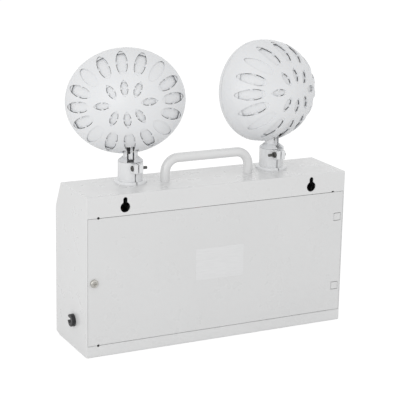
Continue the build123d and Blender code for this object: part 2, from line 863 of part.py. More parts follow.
def petal_tips(index, count, inner, outer, turns):
    """The two ends of one petal seen along the dome axis."""
    angle = 2 * math.pi * index / count
    skew = math.sin(2 * angle)
    low = angle + math.radians(turns[0]) * skew
    high = angle + math.radians(turns[1]) * skew
    near = (inner[0] * math.cos(low), inner[1] * math.sin(low))
    far = (outer[0] * math.cos(high), outer[1] * math.sin(high))
    return near, far


def petal_spot(near, far):
    """Middle of a petal, turned along it, in the XZ plane."""
    turn = math.degrees(math.atan2(far[1] - near[1], far[0] - near[0]))
    return Pos((near[0] + far[0]) / 2, (near[1] + far[1]) / 2) * Rot(0, 0, turn)


def petal_outline(near, far, width, pointed, grow):
    """Outline between two tips, in the XZ plane: a pointed lens or an oval."""
    reach = math.dist(near, far) / 2 + grow
    half = width / 2 + grow
    if pointed:
        edges = [
            ThreePointArc((-reach, 0), (0, half), (reach, 0)),
            ThreePointArc((reach, 0), (0, -half), (-reach, 0)),
        ]
        outline = make_face(Curve() + edges)
    else:
        outline = Ellipse(reach, half)
    return petal_spot(near, far) * outline


def along_axis(outline):
    """Push an outline drawn as (x, z) through the dome along its axis."""
    turned = Plane(origin=(0, 0, 0), x_dir=(1, 0, 0), z_dir=(0, -1, 0)) * outline
    return extrude(turned, -DOME_C - SLIVER)


def rib_bars(near, far, width, pointed):
    """Bars across the middle and the ends of a petal, in the XZ plane."""
    length = math.dist(near, far)
    mid = petal_spot(near, far)
    side = width / 2
    grown = petal_outline(near, far, width, pointed, TIP_RIB_GROW)
    end = length / 2 + TIP_RIB_GROW - TIP_RIB_LEN / 2
    bars = [
        mid * Pos(0, side) * Rectangle(RIB_W, 2 * RIB_REACH),
        mid * Pos(0, -side) * Rectangle(RIB_W, 2 * RIB_REACH),
        grown & (mid * Pos(end, 0) * Rectangle(TIP_RIB_LEN, width)),
        grown & (mid * Pos(-end, 0) * Rectangle(TIP_RIB_LEN, width)),
    ]
    return bars


def petal_plan():
    """Every petal as its tips, width, whether it is pointed and whether it is blind."""
    plan = []
    for index in range(PETALS_OUTER):
        near, far = petal_tips(index, PETALS_OUTER, OUTER_IN, OUTER_OUT, (0, 0))
        blind = index % BLIND_EVERY == BLIND_OFFSET
        plan.append((near, far, OUTER_W, False, blind))
    turns = (INNER_TURN_IN, INNER_TURN_OUT)
    for index in range(PETALS_INNER):
        near, far = petal_tips(index, PETALS_INNER, INNER_IN, INNER_OUT, turns)
        plan.append((near, far, INNER_W, True, False))
    return plan


def post_spots():
    """The four screw posts, behind the blind petals."""
    spots = []
    for sx in (-1, 1):
        for sz in (-1, 1):
            reach = POST_RHO * math.sqrt(0.5)
            spots.append((sx * DOME_A * reach, sz * DOME_B * reach))
    return spots


def make_dome():
    """Vented dome: thin wall, petal openings and a recessed leaf behind each."""
    outer = dome_solid(0, DOME_SKIRT)
    inner = dome_solid(DOME_WALL, DOME_SKIRT + SLIVER)
    wall = outer - inner
    posts = [
        rod_y(x, z, SEAT_Y, POST_DEPTH, POST_R) for x, z in post_spots()
    ]
    wall = wall + [post & outer for post in posts]
    openings = []
    blinds = []
    leaves = []
    bars = []
    for near, far, width, pointed, blind in petal_plan():
        opening = along_axis(petal_outline(near, far, width, pointed, 0))
        if blind:
            blinds.append(opening)
            continue
        openings.append(opening)
        leaves.append(along_axis(petal_outline(near, far, width, pointed, -LEAF_CLEAR)))
        for bar in rib_bars(near, far, width, pointed):
            bars.append(along_axis(bar))
    wall = wall - openings
    skin = outer - dome_solid(BLIND_DEPTH, DOME_SKIRT)
    for blind in blinds:
        wall = wall - (skin & blind)
    core = dome_solid(LEAF_TOP + LEAF_T, DOME_SKIRT)
    leaf_layer = dome_solid(LEAF_TOP, DOME_SKIRT) - core
    rib_layer = dome_solid(RIB_TOP, DOME_SKIRT) - core
    pieces = [leaf_layer & leaf for leaf in leaves]
    pieces += [rib_layer & bar for bar in bars]
    dome = wall + pieces
    y_axis = RIM_FORWARD
    front = -DOME_SKIRT - SLIVER
    back = y_axis + MOUTH_BACK
    mouth = span_box(-MOUTH_X, MOUTH_X, front, back, -DOME_B - SLIVER, -RIM_UP + MOUTH_TOP)
    slot = span_box(
        -MOUTH_SLOT_X, MOUTH_SLOT_X, y_axis, y_axis + MOUTH_SLOT_BACK,
        -DOME_B - SLIVER, -RIM_UP + MOUTH_TOP,
    )
    drills = [
        rod_y(x, z, SEAT_Y - SLIVER, SEAT_Y + POST_HOLE_LEN, POST_HOLE_R) for x, z in post_spots()
    ]
    dome = dome - [mouth, slot] - drills
    # The stem's cut-out parts the loose end of the lowest leaf, which isn't kept
    return dome.solids().sort_by(SortBy.VOLUME)[-1]


def bowl_solid(grow):
    """Solid paraboloid of the reflector, oval, grown by a wall."""
    a = REFL_A + grow
    depth = REFL_DEPTH + grow
    points = []
    for index in range(PROFILE_STEPS + 1):
        rho = index / PROFILE_STEPS
        points.append((a * rho, SEAT_Y + depth * (1 - rho * rho)))
    curve = Spline(*points)
    low = SEAT_Y
    lines = [curve, Line((a, low), (0, low)), Line((0, low), (0, low + depth))]
    face = make_face(Curve() + lines)
    return scale(revolve(face, Axis.Y), by=(1, 1, REFL_B / REFL_A))


def make_reflector():
    """Bright oval bowl with a mounting flange and a neck for the lampholder."""
    bowl = bowl_solid(REFL_WALL)
    outer = DOME_A - DOME_WALL - REFL_FLANGE_CLEAR
    outer_b = DOME_B - DOME_WALL - REFL_FLANGE_CLEAR
    flange = oval_disc(outer, outer_b, -DOME_SKIRT, SEAT_Y)
    top = SEAT_Y + REFL_DEPTH + REFL_NECK_LEN
    tube = rod_y(0, 0, SEAT_Y + REFL_DEPTH - REFL_WALL, top, REFL_NECK_R)
    body = bowl + flange + tube
    body = body - bowl_solid(0)
    body = body - oval_disc(REFL_A, REFL_B, -DOME_SKIRT - SLIVER, SEAT_Y)
    body = body - rod_y(0, 0, SEAT_Y, top + SLIVER, REFL_NECK_BORE)
    holes = [rod_y(x, z, -LONG, SEAT_Y + SLIVER, M3_HOLE_R) for x, z in post_spots()]
    return body - holes


def make_lens():
    """Clear lens with a slightly domed face and room for the four ears."""
    back = -DOME_SKIRT
    a = DOME_A - LENS_INSET
    b = DOME_B - LENS_INSET
    disc = oval_disc(a, b, back - LENS_T, back)
    radius = (a * a + LENS_BULGE * LENS_BULGE) / (2 * LENS_BULGE)
    centre = back - LENS_T - LENS_BULGE + radius
    cap = Pos(0, centre, 0) * Sphere(radius)
    inner_a = DOME_A - BEZEL_LIP_IN - REFL_FLANGE_CLEAR
    inner_b = DOME_B - BEZEL_LIP_IN - REFL_FLANGE_CLEAR
    crown = oval_disc(inner_a, inner_b, back - LENS_T - LENS_BULGE - SLIVER, back - LENS_T)
    ears = [rod_y(x, z, -LONG, LONG, EAR_R + REFL_FLANGE_CLEAR) for x, z in post_spots()]
    return (disc + (crown & cap)) - ears


def make_bezel():
    """Oval bezel that clamps the lens, with an ear at each screw."""
    back = -DOME_SKIRT - BEZEL_GAP
    front = back - BEZEL_DEPTH
    ring = oval_disc(DOME_A, DOME_B, front, back)
    edge = ring.faces().sort_by(Axis.Y)[0].edges()
    ring = fillet(edge, BEZEL_EDGE)
    inner_a = DOME_A - BEZEL_WALL
    inner_b = DOME_B - BEZEL_WALL
    ring = ring - oval_disc(inner_a, inner_b, front + BEZEL_LIP, back + SLIVER)
    lip_a = DOME_A - BEZEL_LIP_IN
    lip_b = DOME_B - BEZEL_LIP_IN
    ring = ring - oval_disc(lip_a, lip_b, front - SLIVER, back)
    shell = oval_disc(inner_a, inner_b, front, back)
    ears = [rod_y(x, z, front, -DOME_SKIRT, EAR_R) & shell for x, z in post_spots()]
    bezel = ring + ears
    holes = []
    for x, z in post_spots():
        holes.append(rod_y(x, z, -LONG, LONG, M3_HOLE_R))
        holes.append(rod_y(x, z, front - SLIVER, front + FACE_HEAD_H, FACE_HEAD_R + NUT_FIT))
    return bezel - holes


def make_face_screws():
    """Four screws through the bezel ears into the dome posts."""
    seat = -DOME_SKIRT - BEZEL_GAP - BEZEL_DEPTH + FACE_HEAD_H
    screw = pan_screw(FACE_HEAD_R, FACE_HEAD_H, FACE_SCREW_R, FACE_SCREW_LEN)
    return [Pos(x, seat, z) * Rot(90, 0, 0) * screw for x, z in post_spots()]


def leaned(name):
    """Rim frame seen from the pivot frame, with the lean of that head."""
    return Rot(0, -LEAN[name], 0) * Pos(0, -RIM_FORWARD, RIM_UP)


def make_bracket(name):
    """Strip from the pivot to a ring round the reflector neck, in the pivot frame."""
    plate = slab_x(BRACKET_INNER + BRACKET_OUTER, TONGUE_X0, PLATE_X1)
    ring = rod_y(0, 0, BRACKET_RING_Y0, BRACKET_RING_Y1, BRACKET_RING_R)
    upper = plate + ring
    upper = upper - rod_y(0, 0, -LONG, LONG, REFL_NECK_R + BRACKET_FIT)
    tongue = rod_x(0, 0, TONGUE_X0, TONGUE_X1, TONGUE_R)
    rise_top = BRACKET_INNER[0][1] + RIM_UP + SLIVER
    rise = span_box(TONGUE_X0, TONGUE_X1, -TAIL_Y0, TONGUE_R, 0, rise_top)
    swing_r = PIVOT_Z - COLLAR_H - TAIL_CLEAR
    tail = span_box(TONGUE_X0, TONGUE_X1, TAIL_Y0, TAIL_Y1, -swing_r, 0)
    foot = span_box(TONGUE_X0, TAIL_X1, TAIL_Y0, TAIL_Y1, -swing_r, TAIL_TOP)
    tail = (tail + foot) & rod_x(0, 0, TONGUE_X0, TAIL_X1, swing_r)
    body = tongue + rise + tail + leaned(name) * upper
    return body - rod_x(0, 0, -LONG, LONG, PIN_HOLE_R)


def make_holder():
    """Ceramic lampholder plugged into the reflector neck."""
    body = rod_y(0, 0, HOLDER_Y0, HOLDER_Y1, HOLDER_R)
    head = rod_y(0, 0, HOLDER_Y1, HOLDER_BACK, HOLDER_HEAD_R)
    sockets = [
        rod_y(side * LAMP_PIN_GAP, 0, HOLDER_Y0 - SLIVER, HOLDER_Y0 + LAMP_PIN_IN, LAMP_PIN_R)
        for side in (-1, 1)
    ]
    return body + head - sockets


def make_lamp():
    """Capsule lamp with its pinch and two pins."""
    pinch_y = HOLDER_Y0
    bulb_y = pinch_y - LAMP_PINCH_LEN
    tip = bulb_y - LAMP_LEN + LAMP_R + LAMP_PINCH_LEN
    bulb = rod_y(0, 0, tip, bulb_y, LAMP_R) + Pos(0, tip, 0) * Sphere(LAMP_R)
    pinch = span_box(
        -LAMP_PINCH_W, LAMP_PINCH_W, bulb_y, pinch_y, -LAMP_PINCH_T, LAMP_PINCH_T
    )
    pins = [
        rod_y(side * LAMP_PIN_GAP, 0, pinch_y, pinch_y + LAMP_PIN_IN, LAMP_PIN_R)
        for side in (-1, 1)
    ]
    return bulb + pinch + pins


def make_head_lead(name):
    """Lamp lead in the head, from the pivot to the back of the lampholder."""
    inside = leaned(name)
    points = [
        (LAMP_LEAD_X, LAMP_LEAD_Y, -LEAD_BREAK), (LAMP_LEAD_X, LAMP_LEAD_Y, HEAD_LEAD_RISE)
    ]
    for spot in (
        (HEAD_LEAD_X, HEAD_LEAD_Y, -HOLDER_HEAD_R - LEAD_BEND),
        (HEAD_LEAD_X, HOLDER_BACK - LAMP_LEAD_R, -HOLDER_HEAD_R),
    ):
        points.append(tuple((inside * Pos(*spot)).position))
    return lead(points, HEAD_LEAD_BEND, LAMP_LEAD_R)


def tilt_place(side, name):
    """Placement of the pivot frame: turned and tilted as photographed."""
    return neck(side) * Pos(0, 0, PIVOT_Z) * Rot(0, 0, -PAN[name]) * Rot(TILT[name], 0, 0)


def make_led():
    """Status lamp in its clip."""
    face = FRONT_Y
    clip = rod_y(LED_X, CONTROL_Z, face - LED_BEZEL_T, face, LED_BEZEL_R)
    body = rod_y(LED_X, CONTROL_Z, face, face + LED_BODY, LED_R)
    dome = Pos(LED_X, face - LED_BEZEL_T, CONTROL_Z) * Sphere(LED_R)
    return clip + body + dome


def make_button_case():
    """Body of the test switch behind a round collar."""
    face = FRONT_Y
    rim = rod_y(BUTTON_X, CONTROL_Z, face - BUTTON_CASE_T, face, BUTTON_CASE_R)
    bush = rod_y(BUTTON_X, CONTROL_Z, face, INNER_FRONT, BUTTON_NECK_R)
    body = rod_y(BUTTON_X, CONTROL_Z, INNER_FRONT, INNER_FRONT + BUTTON_BODY_LEN, BUTTON_BODY_R)
    pocket = rod_y(
        BUTTON_X, CONTROL_Z, face - LONG, face - BUTTON_CASE_T + BUTTON_POCKET, BUTTON_HOLE_R
    )
    return rim + bush + body - pocket


def make_button_cap():
    """Sprung cap of the test switch."""
    out = FRONT_Y - BUTTON_CASE_T - BUTTON_PROUD
    cap = rod_y(BUTTON_X, CONTROL_Z, out, out + BUTTON_CAP_LEN, BUTTON_R)
    rim = cap.edges().filter_by(GeomType.CIRCLE).sort_by(Axis.Y)[0]
    return fillet(rim, BUTTON_EDGE)


def make_battery():
    """Sealed battery block with a lid step."""
    back = BATTERY_FRONT + BATTERY_D
    half = BATTERY_W / 2
    top = SHEET + BATTERY_H
    block = span_box(
        BATTERY_X - half, BATTERY_X + half, BATTERY_FRONT, back, SHEET, top - BATTERY_LID
    )
    block = fillet(block.edges().filter_by(Axis.Z), BATTERY_EDGE)
    lid = span_box(
        BATTERY_X - half + BATTERY_LID_IN, BATTERY_X + half - BATTERY_LID_IN,
        BATTERY_FRONT + BATTERY_LID_IN, back - BATTERY_LID_IN, top - BATTERY_LID, top,
    )
    return block + lid


def terminal_spots():
    """Middles of the two battery tabs."""
    return [(BATTERY_X + side * TERMINAL_X, TERMINAL_Y) for side in (-1, 1)]


def make_terminals():
    """Two flat battery tabs."""
    top = SHEET + BATTERY_H
    tabs = []
    for x, y in terminal_spots():
        tabs.append(
            span_box(
                x - TERMINAL_W / 2, x + TERMINAL_W / 2, y - TERMINAL_T / 2,
                y + TERMINAL_T / 2, top, top + TERMINAL_H,
            )
        )
    return tabs


def make_strap():
    """Steel strap round the battery, screwed to bosses on the front wall."""
    half = BATTERY_W / 2 + STRAP_FIT
    back = BATTERY_FRONT + BATTERY_D + STRAP_FIT
    foot_y = INNER_FRONT + BOSS_H
    z0 = STRAP_Z - STRAP_W / 2
    z1 = STRAP_Z + STRAP_W / 2
    parts = [
        span_box(
            BATTERY_X - half - STRAP_T, BATTERY_X + half + STRAP_T, back, back + STRAP_T, z0, z1
        )
    ]
    for side in (-1, 1):
        near = BATTERY_X + side * half
        wall = near + side * STRAP_T
        end = wall + side * STRAP_FOOT
        parts.append(
            span_box(min(near, wall), max(near, wall), foot_y, back + STRAP_T, z0, z1)
        )
        parts.append(
            span_box(min(near, end), max(near, end), foot_y, foot_y + STRAP_T, z0, z1)
        )
    holes = [
        rod_y(x, z, foot_y - SLIVER, foot_y + STRAP_T + SLIVER, INNER_HOLE_R)
        for x, z in strap_spots()
    ]
    return fuse(parts) - holes


def make_core():
    """Laminated transformer core with two mounting feet."""
    x0 = TRAFO_X - TRAFO_W / 2
    x1 = TRAFO_X + TRAFO_W / 2
    y0 = TRAFO_Y - TRAFO_D / 2
    y1 = TRAFO_Y + TRAFO_D / 2
    base = SHEET + BOSS_H
    core = span_box(x0, x1, y0, y1, base, base + TRAFO_H)
    low = base + (TRAFO_H - TRAFO_WINDOW_H) / 2
    windows = []
    for side in (-1, 1):
        near = TRAFO_X + side * TRAFO_LIMB / 2
        far = near + side * TRAFO_WINDOW_W
        windows.append(
            span_box(
                min(near, far), max(near, far), y0 - SLIVER, y1 + SLIVER,
                low, low + TRAFO_WINDOW_H,
            )
        )
    core = core - windows
    feet = []
    for side in (-1, 1):
        near = TRAFO_X + side * TRAFO_W / 2
        far = near + side * FOOT_D
        feet.append(span_box(min(near, far), max(near, far), y0, y1, base, base + FOOT_T))
    holes = []
    for side in (-1, 1):
        for y in (-FOOT_HOLE_Y, FOOT_HOLE_Y):
            holes.append(
                rod_z(foot_x(side), TRAFO_Y + y, base - SLIVER, base + BOSS_H, INNER_HOLE_R)
            )
    return core + feet - holes


def make_coil():
    """Wound bobbin round the middle limb."""
    base = SHEET + BOSS_H
    low = base + (TRAFO_H - TRAFO_WINDOW_H) / 2 + COIL_FIT
    high = low + TRAFO_WINDOW_H - 2 * COIL_FIT
    reach = TRAFO_LIMB / 2 + TRAFO_WINDOW_W - COIL_FIT
    body = span_box(
        TRAFO_X - reach, TRAFO_X + reach, TRAFO_Y - COIL_D / 2, TRAFO_Y + COIL_D / 2, low, high
    )
    body = fillet(body.edges().filter_by(Axis.Z), COIL_R)
    limb = TRAFO_LIMB / 2 + COIL_FIT
    depth = TRAFO_D / 2 + COIL_FIT
    return body - span_box(
        TRAFO_X - limb, TRAFO_X + limb, TRAFO_Y - depth, TRAFO_Y + depth,
        low - SLIVER, high + SLIVER,
    )


def board_spots():
    """Corner holes of the charger board."""
    reach_x = BOARD_W / 2 - BOARD_HOLE_IN
    reach_z = BOARD_H / 2 - BOARD_HOLE_IN
    return [
        (BOARD_X + sx * reach_x, BOARD_Z + sz * reach_z) for sx in (-1, 1) for sz in (-1, 1)
    ]


BOARD_Y0 = INNER_FRONT + STANDOFF_LEN
BOARD_Y1 = BOARD_Y0 + BOARD_T


def make_standoffs():
    """Four threaded spacers under the board."""
    return [
        rod_y(x, z, INNER_FRONT, BOARD_Y0, STANDOFF_R)
        - rod_y(x, z, BOARD_Y0 - INNER_LEN, BOARD_Y0 + SLIVER, INNER_HOLE_R)
        for x, z in board_spots()
    ]


def make_board():
    """Charger board with corner holes and a plug socket."""
    plate = span_box(
        BOARD_X - BOARD_W / 2, BOARD_X + BOARD_W / 2, BOARD_Y0, BOARD_Y1,
        BOARD_Z - BOARD_H / 2, BOARD_Z + BOARD_H / 2,
    )
    holes = [
        rod_y(x, z, BOARD_Y0 - SLIVER, BOARD_Y1 + SLIVER, INNER_HOLE_R) for x, z in board_spots()
    ]
    return plate - holes


def make_plug():
    """Connector housing on the board."""
    return span_box(
        PLUG_X - PLUG_W / 2, PLUG_X + PLUG_W / 2, BOARD_Y1, BOARD_Y1 + PLUG_D,
        PLUG_Z - PLUG_H / 2, PLUG_Z + PLUG_H / 2,
    )


def make_capacitors():
    """Round capacitors standing on the board."""
    return [rod_y(x, z, BOARD_Y1, BOARD_Y1 + tall, r) for x, z, r, tall in CAP_LIST]


def make_sink():
    """Finned heat sink of the charging regulator."""
    x0 = SINK_X - SINK_W / 2
    z0 = SINK_Z - SINK_H / 2
    z1 = SINK_Z + SINK_H / 2
    parts = [span_box(x0, x0 + SINK_W, BOARD_Y1, BOARD_Y1 + SINK_BASE, z0, z1)]
    pitch = (SINK_W - SINK_FIN_T) / (SINK_FINS - 1)
    for index in range(SINK_FINS):
        left = x0 + index * pitch
        parts.append(
            span_box(left, left + SINK_FIN_T, BOARD_Y1, BOARD_Y1 + SINK_D, z0, z1)
        )
    return fuse(parts)


BLOCK_Y0 = INNER_FRONT + BOSS_H
BLOCK_Y1 = BLOCK_Y0 + BLOCK_D


def make_block():
    """Three-way mains terminal block."""
    block = span_box(
        BLOCK_X - BLOCK_W / 2, BLOCK_X + BLOCK_W / 2, BLOCK_Y0, BLOCK_Y1,
        BLOCK_Z - BLOCK_H / 2, BLOCK_Z + BLOCK_H / 2,
    )
    block = fillet(block.edges().filter_by(Axis.Y), BLOCK_EDGE)
    cuts = []
    for index in range(BLOCK_POLES):
        x = BLOCK_X + (index - (BLOCK_POLES - 1) / 2) * BLOCK_PITCH
        for side in (-1, 1):
            z = BLOCK_Z + side * BLOCK_H / 4
            cuts.append(rod_y(x, z, BLOCK_Y1 - BLOCK_HOLE_DEPTH, BLOCK_Y1 + SLIVER, BLOCK_HOLE_R))
        port = BLOCK_Z - BLOCK_H / 2
        cuts.append(
            rod_z(x, (BLOCK_Y0 + BLOCK_Y1) / 2, port - SLIVER, port + BLOCK_PORT_DEPTH, BLOCK_PORT_R)
        )
    for x, z in block_spots():
        cuts.append(rod_y(x, z, BLOCK_Y0 - SLIVER, BLOCK_Y1 + SLIVER, INNER_HOLE_R))
        cuts.append(
            rod_y(x, z, BLOCK_Y1 - INNER_HEAD_H, BLOCK_Y1 + SLIVER, INNER_HEAD_R + NUT_FIT)
        )
    return block - cuts


def make_inner_screws():
    """Identical pan screws of strap, terminal block, board and transformer."""
    short = pan_screw(INNER_HEAD_R, INNER_HEAD_H, INNER_R, INNER_LEN)
    long_screw = pan_screw(
        INNER_HEAD_R, INNER_HEAD_H, INNER_R, BLOCK_D - INNER_HEAD_H + INNER_LEN / 2
    )
    face_back = Rot(-90, 0, 0)
    screws = []
    for x, z in strap_spots():
        screws.append(Pos(x, INNER_FRONT + BOSS_H + STRAP_T, z) * face_back * short)
    for x, z in board_spots():
        screws.append(Pos(x, BOARD_Y1, z) * face_back * short)
    for side in (-1, 1):
        for y in (-FOOT_HOLE_Y, FOOT_HOLE_Y):
            seat = SHEET + BOSS_H + FOOT_T
            screws.append(Pos(foot_x(side), TRAFO_Y + y, seat) * short)
    for x, z in block_spots():
        screws.append(Pos(x, BLOCK_Y1 - INNER_HEAD_H, z) * face_back * long_screw)
    return screws


# Runs of the fixed leads inside the case
FEED_PLANE = 26.0
FEED_Z = 133.0
FEED_STEP = 4.0
BATTERY_RISE = 5.0
SUPPLY_DROP = 12.0
SUPPLY_BEND = 4.0
PLUG_OUT = BOARD_Y1 + PLUG_D


def make_lamp_feeds():
    """One lead from the board's socket to the foot of each neck."""
    feeds = []
    low = CASE_H - STEM_TAIL - LEAD_END_GAP
    for side in (-1, 1):
        start = PLUG_X + side * FEED_STEP
        plane = FEED_PLANE + side * FEED_STEP
        bus = FEED_Z + side * FEED_STEP
        x = side * NECK_X
        points = [
            (start, PLUG_OUT, PLUG_Z), (start, plane, PLUG_Z), (start, plane, bus),
            (x, plane, bus), (x, NECK_Y, bus), (x, NECK_Y, low),
        ]
        feeds.append(lead(points, LEAD_BEND, LAMP_LEAD_R))
    return feeds


def make_battery_leads():
    """Two leads from the board's socket to the battery tabs."""
    leads = []
    top = SHEET + BATTERY_H + TERMINAL_H
    starts = (PLUG_X + 2 * FEED_STEP, PLUG_X)
    for index, (x, y) in enumerate(terminal_spots()):
        level = top + (index + 1) * BATTERY_RISE
        start = starts[index]
        points = [
            (start, PLUG_OUT, PLUG_Z), (start, y, PLUG_Z), (start, y, level),
            (x, y, level), (x, y, top),
        ]
        leads.append(lead(points, BATTERY_RISE - SLIVER, LEAD_R))
    return leads


def make_supply_leads():
    """Two leads from the terminal block down to the transformer coil."""
    leads = []
    y = (BLOCK_Y0 + BLOCK_Y1) / 2
    top = BLOCK_Z - BLOCK_H / 2 + BLOCK_PORT_DEPTH
    coil_top = SHEET + BOSS_H + (TRAFO_H + TRAFO_WINDOW_H) / 2
    front = TRAFO_Y - COIL_D / 2
    for index in (0, 1):
        x = BLOCK_X + (index - (BLOCK_POLES - 1) / 2) * BLOCK_PITCH
        end_x = TRAFO_X - index * 2 * FEED_STEP
        drop = coil_top + SUPPLY_DROP + index * FEED_STEP
        low = coil_top - FEED_STEP - index * FEED_STEP
        points = [
            (x, y, top), (x, y, drop), (end_x, y, drop), (end_x, y, low), (end_x, front, low),
        ]
        leads.append(lead(points, SUPPLY_BEND, LEAD_R))
    return leads


save("housing_shell", make_case())
save("rear_panel", make_panel())
save("rear_panel_screw", make_panel_screw())
save("carry_handle", make_handle())
save("handle_screws", group(make_handle_screws()))
save("handle_washers", group(make_handle_washers()))
save("cord_bushing", make_bushing())
save("status_led", make_led())
save("test_button_case", make_button_case())
save("test_button_cap", make_button_cap())
save("battery_pack", make_battery())
save("battery_terminals", group(make_terminals()))
save("battery_strap", make_strap())
save("transformer_core", make_core())
save("transformer_coil", make_coil())
save("board_standoffs", group(make_standoffs()))
save("charger_board", make_board())
save("board_plug", make_plug())
save("board_capacitors", group(make_capacitors()))
save("heat_sink", make_sink())
save("terminal_block", make_block())
save("inner_screws", group(make_inner_screws()))
save("lamp_feeds", group(make_lamp_feeds()))
save("battery_leads", group(make_battery_leads()))
save("supply_leads", group(make_supply_leads()))

dome = make_dome()
reflector = make_reflector()
lens = make_lens()
bezel = make_bezel()
face_screws = group(make_face_screws())
holder = make_holder()
lamp = make_lamp()
stem = make_stem()
clip = make_stem_clip()
pin = make_pin()
stem_lead = make_stem_lead()
ring_nut = make_ring_nut()

for name, side, sunk in (("left", 1, True), ("right", -1, False)):
    base = neck(side)
    turned = base * Rot(0, 0, -PAN[name])
    tilted = tilt_place(side, name)
    head = tilted * leaned(name)
    save("neck_collar_" + name, base * make_collar(side, sunk))
    save("ring_nut_" + name, base * ring_nut)
    save("clamp_bolt_" + name, base * make_clamp_bolt(side, sunk))
    save("clamp_nut_" + name, base * make_clamp_nut(side, sunk))
    save("stem_" + name, turned * stem)
    save("stem_clip_" + name, turned * clip)
    save("pivot_pin_" + name, turned * pin)
    save("stem_lead_" + name, turned * stem_lead)
    save("head_bracket_" + name, tilted * make_bracket(name))
    save("dome_" + name, head * dome)
    save("reflector_" + name, head * reflector)
    save("lens_" + name, head * lens)
    save("bezel_" + name, head * bezel)
    save("bezel_screws_" + name, head * face_screws)
    save("lampholder_" + name, head * holder)
    save("capsule_lamp_" + name, head * lamp)
    save("head_lead_" + name, tilted * make_head_lead(name))
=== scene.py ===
import json
import math
import bpy
from mathutils import Matrix, Vector


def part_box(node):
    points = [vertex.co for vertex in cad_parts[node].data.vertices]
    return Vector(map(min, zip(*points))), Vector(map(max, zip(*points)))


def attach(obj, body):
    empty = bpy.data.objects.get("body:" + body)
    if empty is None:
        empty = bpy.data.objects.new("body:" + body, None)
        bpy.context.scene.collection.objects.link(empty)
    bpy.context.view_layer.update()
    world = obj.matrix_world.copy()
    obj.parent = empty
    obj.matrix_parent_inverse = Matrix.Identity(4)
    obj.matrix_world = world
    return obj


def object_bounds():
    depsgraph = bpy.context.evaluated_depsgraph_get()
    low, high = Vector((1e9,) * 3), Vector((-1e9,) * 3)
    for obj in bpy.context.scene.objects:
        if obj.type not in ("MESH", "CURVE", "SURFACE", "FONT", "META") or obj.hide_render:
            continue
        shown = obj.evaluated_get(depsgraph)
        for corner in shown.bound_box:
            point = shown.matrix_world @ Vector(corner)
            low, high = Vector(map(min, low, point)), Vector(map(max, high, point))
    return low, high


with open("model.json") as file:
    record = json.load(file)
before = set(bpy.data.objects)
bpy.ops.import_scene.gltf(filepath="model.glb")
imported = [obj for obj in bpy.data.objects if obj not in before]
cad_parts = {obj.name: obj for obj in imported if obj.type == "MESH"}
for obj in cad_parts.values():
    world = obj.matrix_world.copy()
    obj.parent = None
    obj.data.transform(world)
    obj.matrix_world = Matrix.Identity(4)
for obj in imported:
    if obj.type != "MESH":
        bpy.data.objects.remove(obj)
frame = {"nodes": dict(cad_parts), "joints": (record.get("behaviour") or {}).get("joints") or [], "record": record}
CAD_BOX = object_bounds()
NODES = frame["nodes"]
MM = 0.001
BEVEL_SAMPLES = 8
SIDES = ("left", "right")

# Camera, fitted to the photograph
CAM_AZIMUTH = 153.26
CAM_ELEVATION = 15.06
CAM_ROLL = 1.14
CAM_TARGET = (2.85 * MM, 0.0, 137.0 * MM)
CAM_DISTANCE = 1472.8 * MM
CAM_SENSOR = 36.0
CAM_FOCAL_PX = 1435.4
IMAGE_PX = 400

# Studio
FLOOR_SIZE = 14.0
FLOOR_TONE = 0.94
FLOOR_GLOW = 0.80
FLOOR_SHADE = 0.30
WORLD_LIGHT = 0.84
LIGHT_AIM = (0.0, 0.0, 0.14)
KEY_PLACE = (1.5, 1.4, 0.80)
KEY_SIZE = (1.4, 1.4)
KEY_POWER = 9.0

# Colours, linear
CASE_WHITE = (0.735, 0.737, 0.738)
PANEL_WHITE = (0.715, 0.717, 0.718)
HANDLE_WHITE = (0.745, 0.747, 0.748)
COLLAR_WHITE = (0.80, 0.807, 0.816)
STEM_WHITE = (0.785, 0.793, 0.806)
DOME_WHITE = (0.785, 0.793, 0.806)
BEZEL_WHITE = (0.78, 0.787, 0.798)
BLACK = (0.018, 0.018, 0.02)
BATTERY_BLACK = (0.03, 0.03, 0.034)
PART_BLACK = (0.025, 0.025, 0.028)
LEAD_BLACK = (0.02, 0.02, 0.022)
LEAD_RED = (0.32, 0.018, 0.015)
BUTTON_RED = (0.36, 0.018, 0.014)
LED_RED = (0.75, 0.08, 0.05)
NICKEL = (0.60, 0.585, 0.55)
OXIDE_BLACK = (0.13, 0.128, 0.122)
ZINC = (0.52, 0.53, 0.54)
GALVANISED = (0.50, 0.51, 0.52)
CORE_STEEL = (0.16, 0.16, 0.17)
COIL_AMBER = (0.42, 0.22, 0.05)
BOARD_GREEN = (0.02, 0.13, 0.05)
NYLON = (0.62, 0.58, 0.47)
ALUMINIUM = (0.62, 0.62, 0.63)
BRASS = (0.62, 0.45, 0.20)
SILVER = (0.88, 0.88, 0.89)
CERAMIC = (0.74, 0.73, 0.68)
LENS_CLEAR = (0.96, 0.975, 0.975)
QUARTZ_CLEAR = (0.97, 0.98, 0.98)
STICKER_TONE = (0.755, 0.758, 0.762)

# In the values of the surfaces below, a noise's size is in features a metre,
# a tone is a share of the surface's colour, a share is how far a tone is laid on,
# and a range is the part of a noise that counts

# The middle of a noise's range, where most of its values lie
LOW = 0.3
HIGH = 0.7

# How far a rounded normal turns from a face, as a cosine: on the flat, on an edge
EDGE_RANGE = (0.99, 0.80)

# Bands a metre of the wave texture at scale 1
WAVE_BANDS = 3.2

